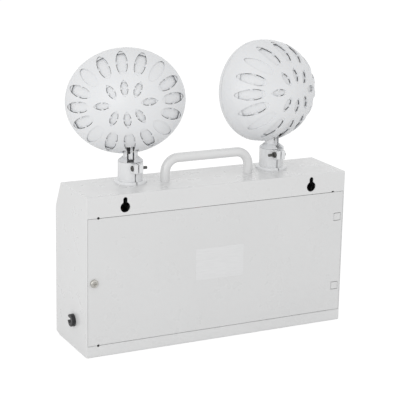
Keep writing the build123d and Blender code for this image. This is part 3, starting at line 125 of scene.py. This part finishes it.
# Powder coat
COAT_WEIGHT = 0.35
COAT_ROUGH = 0.12
COAT_CLOUD = 9.0
COAT_CLOUD_TONE = 0.972
COAT_SPECK = 2600.0
COAT_SPECK_RANGE = (0.76, 0.90)
COAT_SPECK_SHARE = 0.06
COAT_SPECK_TONE = 0.93
# Painted highlight: the coat's edges are laid lighter, standing in for the light caught on their rounding
COAT_EDGE_HIGHLIGHT_SHARE = 0.6
COAT_EDGE_HIGHLIGHT_TONE = 1.07
COAT_HAZE = 60.0
COAT_PEEL = 420.0
COAT_PEEL_HEIGHT = 0.04 * MM
COAT_FINE = 1500.0
COAT_FINE_HEIGHT = 0.02 * MM

# Moulded plastic
PLASTIC_IOR = 1.49
SCATTER_RADII = (1.2 * MM, 1.1 * MM, 1.0 * MM)
MOULD_FLOW = 22.0
MOULD_FLOW_TONE = 0.965
# Painted highlight: the moulding's edges are laid lighter, standing in for the light caught on their rounding
MOULD_EDGE_HIGHLIGHT_SHARE = 0.3
MOULD_EDGE_HIGHLIGHT_TONE = 1.06
MOULD_HAZE = 120.0
MOULD_GRAIN_HEIGHT = 0.03 * MM

# Plated metal
METAL_EDGE = 0.2 * MM
METAL_EDGE_TONE = 1.25
METAL_LINES = 900.0
METAL_LINES_HEIGHT = 0.02 * MM
METAL_PATCH = 180.0
METAL_PATCH_RANGE = (0.35, 0.65)
METAL_PATCH_TONE = 0.80
METAL_RIB_HEIGHT = 0.15 * MM

# Clear plastic and glass
CLEAR_WEIGHT = 0.95
CLEAR_HAZE = 90.0
CLEAR_SCUFF = 700.0
CLEAR_SCUFF_RANGE = (0.6, 0.8)
CLEAR_SCUFF_SHARE = 0.3
CLEAR_SCUFF_TONE = 0.93
CLEAR_RIB_HEIGHT = 0.3 * MM

# Metallised mirror
MIRROR_DUST = 1400.0
MIRROR_DUST_RANGE = (0.4, 0.8)
MIRROR_FILM = 30.0
MIRROR_FILM_TONE = 0.94
MIRROR_RIPPLE = 45.0
MIRROR_RIPPLE_HEIGHT = 0.3 * MM

# Circuit board
BOARD_TRACKS = 160.0
BOARD_TRACK_TONE = 1.5
BOARD_GAP_TONE = 0.6
BOARD_TRACK_HEIGHT = 0.05 * MM
BOARD_HAZE = 200.0

# Sticker's film
FILM_WEIGHT = 0.3
FILM_GRAIN = 1600.0
FILM_GRAIN_STRETCH = (0.05, 1.0, 1.0)
FILM_GRAIN_TONE = 0.95
FILM_WAVE = 70.0
FILM_WAVE_HEIGHT = 0.1 * MM

# Sticker: left, low, right and high edges on the rear panel
STICKER_EDGES = (-27.0 * MM, 65.5 * MM, 27.0 * MM, 98.5 * MM)
STICKER_R = 1.5 * MM
STICKER_T = 0.12 * MM
STICKER_STEPS = 5

# Filament: a coil across the capsule, on two posts that run back to its pinch
COIL_TURNS = 9
COIL_STEPS = 14
COIL_REACH = 1.7 * MM
COIL_R = 0.45 * MM
COIL_FORWARD = 5.0 * MM
POST_LEN = 9.0 * MM
WIRE_R = 0.12 * MM


def new_shader(name, colour, rough, metal=0.0):
    """A material whose shader holds the plain values."""
    material = bpy.data.materials.new(name)
    material.use_nodes = True
    shader = material.node_tree.nodes["Principled BSDF"]
    shader.inputs["Base Color"].default_value = (*colour, 1.0)
    shader.inputs["Roughness"].default_value = rough
    shader.inputs["Metallic"].default_value = metal
    return material, shader


def place_texture(material):
    """Texture coordinates in metres, fixed to the object."""
    return material.node_tree.nodes.new("ShaderNodeTexCoord").outputs["Object"]


def stretched(material, source, scale):
    """The same coordinates, stretched along each axis."""
    mapping = material.node_tree.nodes.new("ShaderNodeMapping")
    mapping.inputs["Scale"].default_value = scale
    material.node_tree.links.new(source, mapping.inputs["Vector"])
    return mapping.outputs["Vector"]


def noise(material, source, scale, detail=2.0, rough=0.5):
    """Noise of a stated number of features a metre."""
    node = material.node_tree.nodes.new("ShaderNodeTexNoise")
    node.inputs["Scale"].default_value = scale
    node.inputs["Detail"].default_value = detail
    node.inputs["Roughness"].default_value = rough
    material.node_tree.links.new(source, node.inputs["Vector"])
    return node.outputs["Fac"]


def remap(material, value, low, high, out_low, out_high):
    """A value moved from one range to another."""
    node = material.node_tree.nodes.new("ShaderNodeMapRange")
    for name, number in (
        ("From Min", low), ("From Max", high), ("To Min", out_low), ("To Max", out_high)
    ):
        node.inputs[name].default_value = number
    material.node_tree.links.new(value, node.inputs["Value"])
    return node.outputs["Result"]


def mixed(material, factor, first, second):
    """Two colours blended by a factor. Either may be a colour or an output."""
    node = material.node_tree.nodes.new("ShaderNodeMix")
    node.data_type = "RGBA"
    colour_inputs = [i for i in node.inputs if i.type == "RGBA"]
    links = material.node_tree.links
    links.new(factor, node.inputs["Factor"])
    for socket, value in zip(colour_inputs, (first, second)):
        if isinstance(value, tuple):
            socket.default_value = (*value, 1.0)
        else:
            links.new(value, socket)
    return [o for o in node.outputs if o.type == "RGBA"][0]


def bumped(material, height, distance, strength, under=None):
    """Normal raised by a height, laid over another normal."""
    node = material.node_tree.nodes.new("ShaderNodeBump")
    node.inputs["Distance"].default_value = distance
    node.inputs["Strength"].default_value = strength
    material.node_tree.links.new(height, node.inputs["Height"])
    if under is not None:
        material.node_tree.links.new(under, node.inputs["Normal"])
    return node.outputs["Normal"]


def soft_edge(material, radius):
    """Normal rounded over sharp edges, as paint and moulding leave them."""
    node = material.node_tree.nodes.new("ShaderNodeBevel")
    node.samples = BEVEL_SAMPLES
    node.inputs["Radius"].default_value = radius
    return node.outputs["Normal"]


def edge_mask(material, radius):
    """1 on sharp edges and 0 on flat faces."""
    tree = material.node_tree
    rounded = soft_edge(material, radius)
    geometry = tree.nodes.new("ShaderNodeNewGeometry")
    dot = tree.nodes.new("ShaderNodeVectorMath")
    dot.operation = "DOT_PRODUCT"
    tree.links.new(rounded, dot.inputs[0])
    tree.links.new(geometry.outputs["Normal"], dot.inputs[1])
    return remap(material, dot.outputs["Value"], *EDGE_RANGE, 0.0, 1.0)


def shade(colour, factor):
    """The same colour, darker or lighter."""
    return tuple(min(1.0, c * factor) for c in colour)


def wire_in(material, shader, socket, output):
    """Connect an output to one of the shader's sockets."""
    material.node_tree.links.new(output, shader.inputs[socket])


def powder_coat(name, colour, rough=0.30, peel=0.06, edge=0.4 * MM):
    """White powder coat: orange peel, faint mottling and edges painted slightly brighter as a highlight."""
    material, shader = new_shader(name, colour, rough)
    shader.inputs["Coat Weight"].default_value = COAT_WEIGHT
    shader.inputs["Coat Roughness"].default_value = COAT_ROUGH
    at = place_texture(material)
    cloud = noise(material, at, COAT_CLOUD, 3.0)
    speck = noise(material, at, COAT_SPECK, 1.0)
    clouds = remap(material, cloud, LOW, HIGH, 0.0, 1.0)
    tone = mixed(material, clouds, colour, shade(colour, COAT_CLOUD_TONE))
    specks = remap(material, speck, *COAT_SPECK_RANGE, 0.0, COAT_SPECK_SHARE)
    tone = mixed(material, specks, tone, shade(colour, COAT_SPECK_TONE))
    # Painted highlight: a lighter tone laid along the sharp edges
    edge_highlight_and_wear = remap(material, edge_mask(material, edge), 0.0, 1.0, 0.0, COAT_EDGE_HIGHLIGHT_SHARE)
    tone = mixed(material, edge_highlight_and_wear, tone, shade(colour, COAT_EDGE_HIGHLIGHT_TONE))
    wire_in(material, shader, "Base Color", tone)
    haze = noise(material, at, COAT_HAZE, 3.0)
    dulled = remap(material, haze, LOW, HIGH, rough - 0.05, rough + 0.06)
    wire_in(material, shader, "Roughness", dulled)
    rounded = soft_edge(material, edge)
    waves = noise(material, at, COAT_PEEL)
    coarse = bumped(material, waves, COAT_PEEL_HEIGHT, peel, rounded)
    grain = noise(material, at, COAT_FINE, 1.0)
    fine = bumped(material, grain, COAT_FINE_HEIGHT, peel, coarse)
    wire_in(material, shader, "Normal", fine)
    return material


def moulded(name, colour, rough=0.32, grain=0.12, edge=0.3 * MM, glow=0.0, scale=900.0):
    """Injection-moulded plastic: slight mottling, fine grain, soft edges and a painted highlight along them."""
    material, shader = new_shader(name, colour, rough)
    shader.inputs["IOR"].default_value = PLASTIC_IOR
    shader.inputs["Subsurface Weight"].default_value = glow
    shader.inputs["Subsurface Radius"].default_value = SCATTER_RADII
    shader.inputs["Subsurface Scale"].default_value = 1.0
    at = place_texture(material)
    flow = noise(material, at, MOULD_FLOW, 4.0)
    flows = remap(material, flow, LOW, HIGH, 0.0, 1.0)
    tone = mixed(material, flows, colour, shade(colour, MOULD_FLOW_TONE))
    # Painted highlight: a lighter tone laid along the sharp edges
    edge_highlight_and_wear = remap(material, edge_mask(material, edge), 0.0, 1.0, 0.0, MOULD_EDGE_HIGHLIGHT_SHARE)
    tone = mixed(material, edge_highlight_and_wear, tone, shade(colour, MOULD_EDGE_HIGHLIGHT_TONE))
    wire_in(material, shader, "Base Color", tone)
    haze = noise(material, at, MOULD_HAZE, 3.0)
    dulled = remap(material, haze, LOW, HIGH, rough - 0.06, rough + 0.07)
    wire_in(material, shader, "Roughness", dulled)
    rounded = soft_edge(material, edge)
    pores = noise(material, at, scale)
    fine = bumped(material, pores, MOULD_GRAIN_HEIGHT, grain, rounded)
    wire_in(material, shader, "Normal", fine)
    return material


def plated(name, colour, rough=0.25, streak=(1.0, 1.0, 1.0), wear=0.5):
    """Plated or bright metal: turning or rolling streaks, dulled patches and bright edges."""
    material, shader = new_shader(name, colour, rough, 1.0)
    at = place_texture(material)
    lines = noise(material, stretched(material, at, streak), METAL_LINES, 3.0)
    patch = noise(material, at, METAL_PATCH, 3.0)
    patches = remap(material, patch, *METAL_PATCH_RANGE, 0.0, 1.0)
    tone = mixed(material, patches, colour, shade(colour, METAL_PATCH_TONE))
    edge_highlight_and_wear = remap(material, edge_mask(material, METAL_EDGE), 0.0, 1.0, 0.0, wear)
    tone = mixed(material, edge_highlight_and_wear, tone, shade(colour, METAL_EDGE_TONE))
    wire_in(material, shader, "Base Color", tone)
    dulled = remap(material, lines, LOW, HIGH, rough - 0.08, rough + 0.12)
    wire_in(material, shader, "Roughness", dulled)
    rounded = soft_edge(material, METAL_EDGE)
    streaks = bumped(material, lines, METAL_LINES_HEIGHT, 0.25, rounded)
    wire_in(material, shader, "Normal", streaks)
    return material


def ribbed_metal(name, colour, pitch, rough=0.3):
    """Metal with fine turns or laminations across it."""
    material = plated(name, colour, rough)
    tree = material.node_tree
    shader = tree.nodes["Principled BSDF"]
    at = place_texture(material)
    wave = tree.nodes.new("ShaderNodeTexWave")
    wave.bands_direction = "Y"
    wave.inputs["Scale"].default_value = 1.0 / pitch / WAVE_BANDS
    wave.inputs["Distortion"].default_value = 0.2
    tree.links.new(at, wave.inputs["Vector"])
    ribs = bumped(material, wave.outputs["Fac"], METAL_RIB_HEIGHT, 0.5)
    wire_in(material, shader, "Normal", ribs)
    return material


def clear_plastic(name, tint, rough, ribs):
    """Clear moulded plastic with faint ribs on its inner face."""
    material, shader = new_shader(name, tint, rough)
    shader.inputs["Transmission Weight"].default_value = CLEAR_WEIGHT
    shader.inputs["IOR"].default_value = PLASTIC_IOR
    at = place_texture(material)
    haze = noise(material, at, CLEAR_HAZE, 3.0)
    wire_in(material, shader, "Roughness", remap(material, haze, LOW, HIGH, rough, rough + 0.05))
    scuff = noise(material, at, CLEAR_SCUFF)
    scuffs = remap(material, scuff, *CLEAR_SCUFF_RANGE, 0.0, CLEAR_SCUFF_SHARE)
    tone = mixed(material, scuffs, tint, shade(tint, CLEAR_SCUFF_TONE))
    wire_in(material, shader, "Base Color", tone)
    wave = material.node_tree.nodes.new("ShaderNodeTexWave")
    wave.bands_direction = "X"
    wave.inputs["Scale"].default_value = ribs
    material.node_tree.links.new(at, wave.inputs["Vector"])
    ribbed = bumped(material, wave.outputs["Fac"], CLEAR_RIB_HEIGHT, 0.25)
    wire_in(material, shader, "Normal", ribbed)
    return material


def mirror_coat(name, colour):
    """Vacuum-metallised reflector with a faint ripple and dust."""
    material, shader = new_shader(name, colour, 0.08, 1.0)
    at = place_texture(material)
    dust = noise(material, at, MIRROR_DUST)
    wire_in(material, shader, "Roughness", remap(material, dust, *MIRROR_DUST_RANGE, 0.06, 0.20))
    film = noise(material, at, MIRROR_FILM, 3.0)
    films = remap(material, film, LOW, HIGH, 0.0, 1.0)
    tone = mixed(material, films, colour, shade(colour, MIRROR_FILM_TONE))
    wire_in(material, shader, "Base Color", tone)
    ripple = noise(material, at, MIRROR_RIPPLE)
    wire_in(material, shader, "Normal", bumped(material, ripple, MIRROR_RIPPLE_HEIGHT, 0.12))
    return material


def circuit_board(name, colour):
    """Solder mask with raised tracks."""
    material, shader = new_shader(name, colour, 0.3)
    at = place_texture(material)
    tree = material.node_tree
    bricks = tree.nodes.new("ShaderNodeTexBrick")
    bricks.inputs["Scale"].default_value = BOARD_TRACKS
    bricks.inputs["Color1"].default_value = (*shade(colour, BOARD_TRACK_TONE), 1.0)
    bricks.inputs["Color2"].default_value = (*colour, 1.0)
    bricks.inputs["Mortar"].default_value = (*shade(colour, BOARD_GAP_TONE), 1.0)
    tree.links.new(at, bricks.inputs["Vector"])
    wire_in(material, shader, "Base Color", bricks.outputs["Color"])
    raised = bumped(material, bricks.outputs["Fac"], BOARD_TRACK_HEIGHT, 0.4)
    wire_in(material, shader, "Normal", raised)
    haze = noise(material, at, BOARD_HAZE)
    wire_in(material, shader, "Roughness", remap(material, haze, LOW, HIGH, 0.22, 0.42))
    return material


def sticker_film():
    """Plain white film with a faint grain."""
    material, shader = new_shader("blank_film", STICKER_TONE, 0.34)
    shader.inputs["Coat Weight"].default_value = FILM_WEIGHT
    at = place_texture(material)
    grain = noise(material, stretched(material, at, FILM_GRAIN_STRETCH), FILM_GRAIN, 3.0)
    grains = remap(material, grain, LOW, HIGH, 0.0, 1.0)
    tone = mixed(material, grains, STICKER_TONE, shade(STICKER_TONE, FILM_GRAIN_TONE))
    wire_in(material, shader, "Base Color", tone)
    wire_in(material, shader, "Roughness", remap(material, grain, LOW, HIGH, 0.28, 0.42))
    wave = noise(material, at, FILM_WAVE)
    wire_in(material, shader, "Normal", bumped(material, wave, FILM_WAVE_HEIGHT, 0.15))
    return material


MATERIALS = {
    "case_paint": powder_coat("case_powder_coat", CASE_WHITE),
    "panel_paint": powder_coat("panel_powder_coat", PANEL_WHITE),
    "handle_paint": powder_coat("handle_powder_coat", HANDLE_WHITE, rough=0.22, peel=0.08),
    "collar_paint": powder_coat(
        "collar_paint", COLLAR_WHITE, rough=0.20, peel=0.08, edge=0.3 * MM
    ),
    "stem_plastic": moulded(
        "stem_plastic", STEM_WHITE, rough=0.26, grain=0.10, edge=0.25 * MM, glow=0.10
    ),
    "dome_plastic": moulded(
        "dome_plastic", DOME_WHITE, rough=0.42, grain=0.08, edge=0.25 * MM, glow=0.10
    ),
    "bezel_plastic": moulded(
        "bezel_plastic", BEZEL_WHITE, rough=0.30, grain=0.10, edge=0.25 * MM, glow=0.10
    ),
    "black_plastic": moulded("black_nylon", BLACK, rough=0.38, grain=0.35, scale=1600.0),
    "button_red": moulded("red_button", BUTTON_RED, rough=0.30),
    "led_lens": clear_plastic("led_lens", LED_RED, rough=0.10, ribs=120.0),
    "battery_case": moulded(
        "battery_case", BATTERY_BLACK, rough=0.50, grain=0.40, edge=0.4 * MM, scale=1400.0
    ),
    "nickel": plated("nickel_plate", NICKEL, rough=0.22),
    "black_oxide": plated("black_oxide", OXIDE_BLACK, rough=0.38),
    "zinc": plated("zinc_plate", ZINC, rough=0.34),
    "steel": plated("galvanised_sheet", GALVANISED, rough=0.42, streak=(1.0, 1.0, 0.1)),
    "core_steel": ribbed_metal("core_laminations", CORE_STEEL, pitch=0.6 * MM, rough=0.45),
    "coil_wrap": moulded("winding_tape", COIL_AMBER, rough=0.35, grain=0.4, scale=500.0),
    "board_green": circuit_board("solder_mask", BOARD_GREEN),
    "part_black": moulded("component_black", PART_BLACK, rough=0.35),
    "sink_metal": ribbed_metal("extruded_aluminium", ALUMINIUM, pitch=0.8 * MM, rough=0.40),
    "block_plastic": moulded("natural_nylon", NYLON, rough=0.45, grain=0.3, glow=0.15),
    "brass": plated("bright_brass", BRASS, rough=0.25),
    "bright_metal": mirror_coat("metallised_bowl", SILVER),
    "clear": clear_plastic("clear_lens", LENS_CLEAR, rough=0.03, ribs=75.0),
    "ceramic": moulded("ceramic", CERAMIC, rough=0.60, grain=0.5, glow=0.05, scale=1800.0),
    "lamp_glass": clear_plastic("quartz", QUARTZ_CLEAR, rough=0.01, ribs=20.0),
    "lead_black": moulded(
        "black_insulation", LEAD_BLACK, rough=0.36, grain=0.15, edge=0.1 * MM
    ),
    "lead_red": moulded("red_insulation", LEAD_RED, rough=0.36, grain=0.15, edge=0.1 * MM),
}

# Every CAD node takes the material of its slot
for part in frame["record"]["subparts"]:
    node = NODES[part["node"]]
    node.data.materials.clear()
    node.data.materials.append(MATERIALS[part["material_slot"]])


def joint_named(name):
    """The record of one joint."""
    return [joint for joint in frame["joints"] if joint["name"] == name][0]


def new_mesh(name, verts, faces, material):
    """A mesh object from points and faces."""
    mesh = bpy.data.meshes.new(name)
    mesh.from_pydata(verts, [], faces)
    mesh.materials.append(material)
    piece = bpy.data.objects.new(name, mesh)
    bpy.context.scene.collection.objects.link(piece)
    return piece


def camera_axes():
    """Right, up and back directions of the camera."""
    azimuth = math.radians(CAM_AZIMUTH)
    elevation = math.radians(CAM_ELEVATION)
    roll = math.radians(CAM_ROLL)
    back = Vector((
        math.sin(azimuth) * math.cos(elevation),
        -math.cos(azimuth) * math.cos(elevation),
        math.sin(elevation),
    ))
    right = Vector((0, 0, 1)).cross(back).normalized()
    up = back.cross(right)
    turned_right = right * math.cos(roll) + up * math.sin(roll)
    turned_up = up * math.cos(roll) - right * math.sin(roll)
    return turned_right, turned_up, back


def set_camera():
    """Camera at the photograph's place."""
    data = bpy.data.cameras.new("camera")
    data.sensor_width = CAM_SENSOR
    data.lens = CAM_FOCAL_PX * CAM_SENSOR / IMAGE_PX
    data.clip_end = 100.0
    camera = bpy.data.objects.new("camera", data)
    bpy.context.scene.collection.objects.link(camera)
    right, up, back = camera_axes()
    place = Matrix((right, up, back)).transposed().to_4x4()
    place.translation = Vector(CAM_TARGET) + back * CAM_DISTANCE
    camera.matrix_world = place
    bpy.context.scene.camera = camera


def area_light(name, place, aim, size, power):
    """Soft box pointed at a spot."""
    data = bpy.data.lights.new(name, "AREA")
    data.shape = "RECTANGLE"
    data.size, data.size_y = size
    data.energy = power
    lamp = bpy.data.objects.new(name, data)
    lamp.location = place
    direction = Vector(aim) - Vector(place)
    lamp.rotation_euler = direction.to_track_quat("-Z", "Y").to_euler()
    bpy.context.scene.collection.objects.link(lamp)


def seen_ray(tree):
    """1 for camera, glossy and transmission rays, by which the world is seen."""
    path = tree.nodes.new("ShaderNodeLightPath")
    first = tree.nodes.new("ShaderNodeMath")
    first.operation = "MAXIMUM"
    tree.links.new(path.outputs["Is Camera Ray"], first.inputs[0])
    tree.links.new(path.outputs["Is Glossy Ray"], first.inputs[1])
    second = tree.nodes.new("ShaderNodeMath")
    second.operation = "MAXIMUM"
    tree.links.new(first.outputs["Value"], second.inputs[0])
    tree.links.new(path.outputs["Is Transmission Ray"], second.inputs[1])
    return second.outputs["Value"]


def floor_paint():
    """White to light and, to the camera, a glow with a faint shadow on it."""
    material = bpy.data.materials.new("studio_floor")
    material.use_nodes = True
    tree = material.node_tree
    tree.nodes.clear()
    out = tree.nodes.new("ShaderNodeOutputMaterial")
    plain = tree.nodes.new("ShaderNodeBsdfDiffuse")
    plain.inputs["Color"].default_value = (FLOOR_TONE, FLOOR_TONE, FLOOR_TONE, 1.0)
    shadowed = tree.nodes.new("ShaderNodeBsdfDiffuse")
    shadowed.inputs["Color"].default_value = (FLOOR_SHADE, FLOOR_SHADE, FLOOR_SHADE, 1.0)
    glow = tree.nodes.new("ShaderNodeEmission")
    glow.inputs["Strength"].default_value = FLOOR_GLOW
    both = tree.nodes.new("ShaderNodeAddShader")
    tree.links.new(shadowed.outputs[0], both.inputs[0])
    tree.links.new(glow.outputs[0], both.inputs[1])
    choose = tree.nodes.new("ShaderNodeMixShader")
    path = tree.nodes.new("ShaderNodeLightPath")
    tree.links.new(path.outputs["Is Camera Ray"], choose.inputs[0])
    tree.links.new(plain.outputs[0], choose.inputs[1])
    tree.links.new(both.outputs[0], choose.inputs[2])
    tree.links.new(choose.outputs[0], out.inputs["Surface"])
    return material


def set_floor():
    """Studio floor at the height of the case's underside."""
    half = FLOOR_SIZE / 2
    level = CAD_BOX[0][2]
    floor = new_mesh(
        "studio_floor",
        [(-half, -half, level), (half, -half, level), (half, half, level), (-half, half, level)],
        [(0, 1, 2, 3)],
        floor_paint(),
    )


def set_world():
    """Even light from all sides, from a world that looks white."""
    world = bpy.data.worlds.new("studio_world")
    world.use_nodes = True
    tree = world.node_tree
    tree.nodes.clear()
    out = tree.nodes.new("ShaderNodeOutputWorld")
    light = tree.nodes.new("ShaderNodeBackground")
    light.inputs["Strength"].default_value = WORLD_LIGHT
    white = tree.nodes.new("ShaderNodeBackground")
    white.inputs["Strength"].default_value = 1.0
    for node in (light, white):
        node.inputs["Color"].default_value = (1.0, 1.0, 1.0, 1.0)
    choose = tree.nodes.new("ShaderNodeMixShader")
    tree.links.new(seen_ray(tree), choose.inputs[0])
    tree.links.new(light.outputs[0], choose.inputs[1])
    tree.links.new(white.outputs[0], choose.inputs[2])
    tree.links.new(choose.outputs[0], out.inputs["Surface"])
    bpy.context.scene.world = world


def lamp_filament(side):
    """Coiled filament on two posts inside the capsule lamp."""
    low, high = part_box("capsule_lamp_" + side)
    centre = (low + high) / 2
    joint = joint_named("tilt_" + side)
    across = Vector(joint["axis"]).normalized()
    holder_low, holder_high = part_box("lampholder_" + side)
    back = ((holder_low + holder_high) / 2 - centre).normalized()
    lift = back.cross(across).normalized()
    middle = centre - back * COIL_FORWARD
    points = [middle - across * COIL_REACH + back * POST_LEN]
    for index in range(COIL_TURNS * COIL_STEPS + 1):
        share = index / (COIL_TURNS * COIL_STEPS)
        angle = 2 * math.pi * COIL_TURNS * share
        spot = middle + across * COIL_REACH * (2 * share - 1)
        spot += lift * COIL_R * math.sin(angle) + back * COIL_R * math.cos(angle)
        points.append(spot)
    points.append(middle + across * COIL_REACH + back * POST_LEN)
    curve = bpy.data.curves.new("filament_" + side, "CURVE")
    curve.dimensions = "3D"
    curve.bevel_depth = WIRE_R
    curve.bevel_resolution = 1
    spline = curve.splines.new("POLY")
    spline.points.add(len(points) - 1)
    for point, place in zip(spline.points, points):
        point.co = (*place, 1.0)
    curve.materials.append(MATERIALS["nickel"])
    piece = bpy.data.objects.new("filament_" + side, curve)
    bpy.context.scene.collection.objects.link(piece)
    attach(piece, "head_body_" + side)


def blank_sticker():
    """Plain sticker with rounded corners on the rear panel."""
    panel_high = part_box("rear_panel")[1]
    left, low, right, high = STICKER_EDGES
    corners = (
        (right - STICKER_R, high - STICKER_R, 0),
        (left + STICKER_R, high - STICKER_R, 1),
        (left + STICKER_R, low + STICKER_R, 2),
        (right - STICKER_R, low + STICKER_R, 3),
    )
    verts = []
    for depth in (0.0, STICKER_T):
        for x, z, quarter in corners:
            for step in range(STICKER_STEPS + 1):
                angle = math.pi / 2 * (quarter + step / STICKER_STEPS)
                verts.append((
                    x + STICKER_R * math.cos(angle),
                    panel_high.y + depth,
                    z + STICKER_R * math.sin(angle),
                ))
    count = len(verts) // 2
    faces = [tuple(range(count)), tuple(reversed(range(count, 2 * count)))]
    for index in range(count):
        after = (index + 1) % count
        faces.append((after, index, count + index, count + after))
    piece = new_mesh("blank_sticker", verts, faces, sticker_film())
    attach(piece, "case")


set_camera()
set_floor()
set_world()
area_light("key", KEY_PLACE, LIGHT_AIM, KEY_SIZE, KEY_POWER)
bpy.context.scene.view_settings.view_transform = "Standard"
blank_sticker()
for side in SIDES:
    lamp_filament(side)
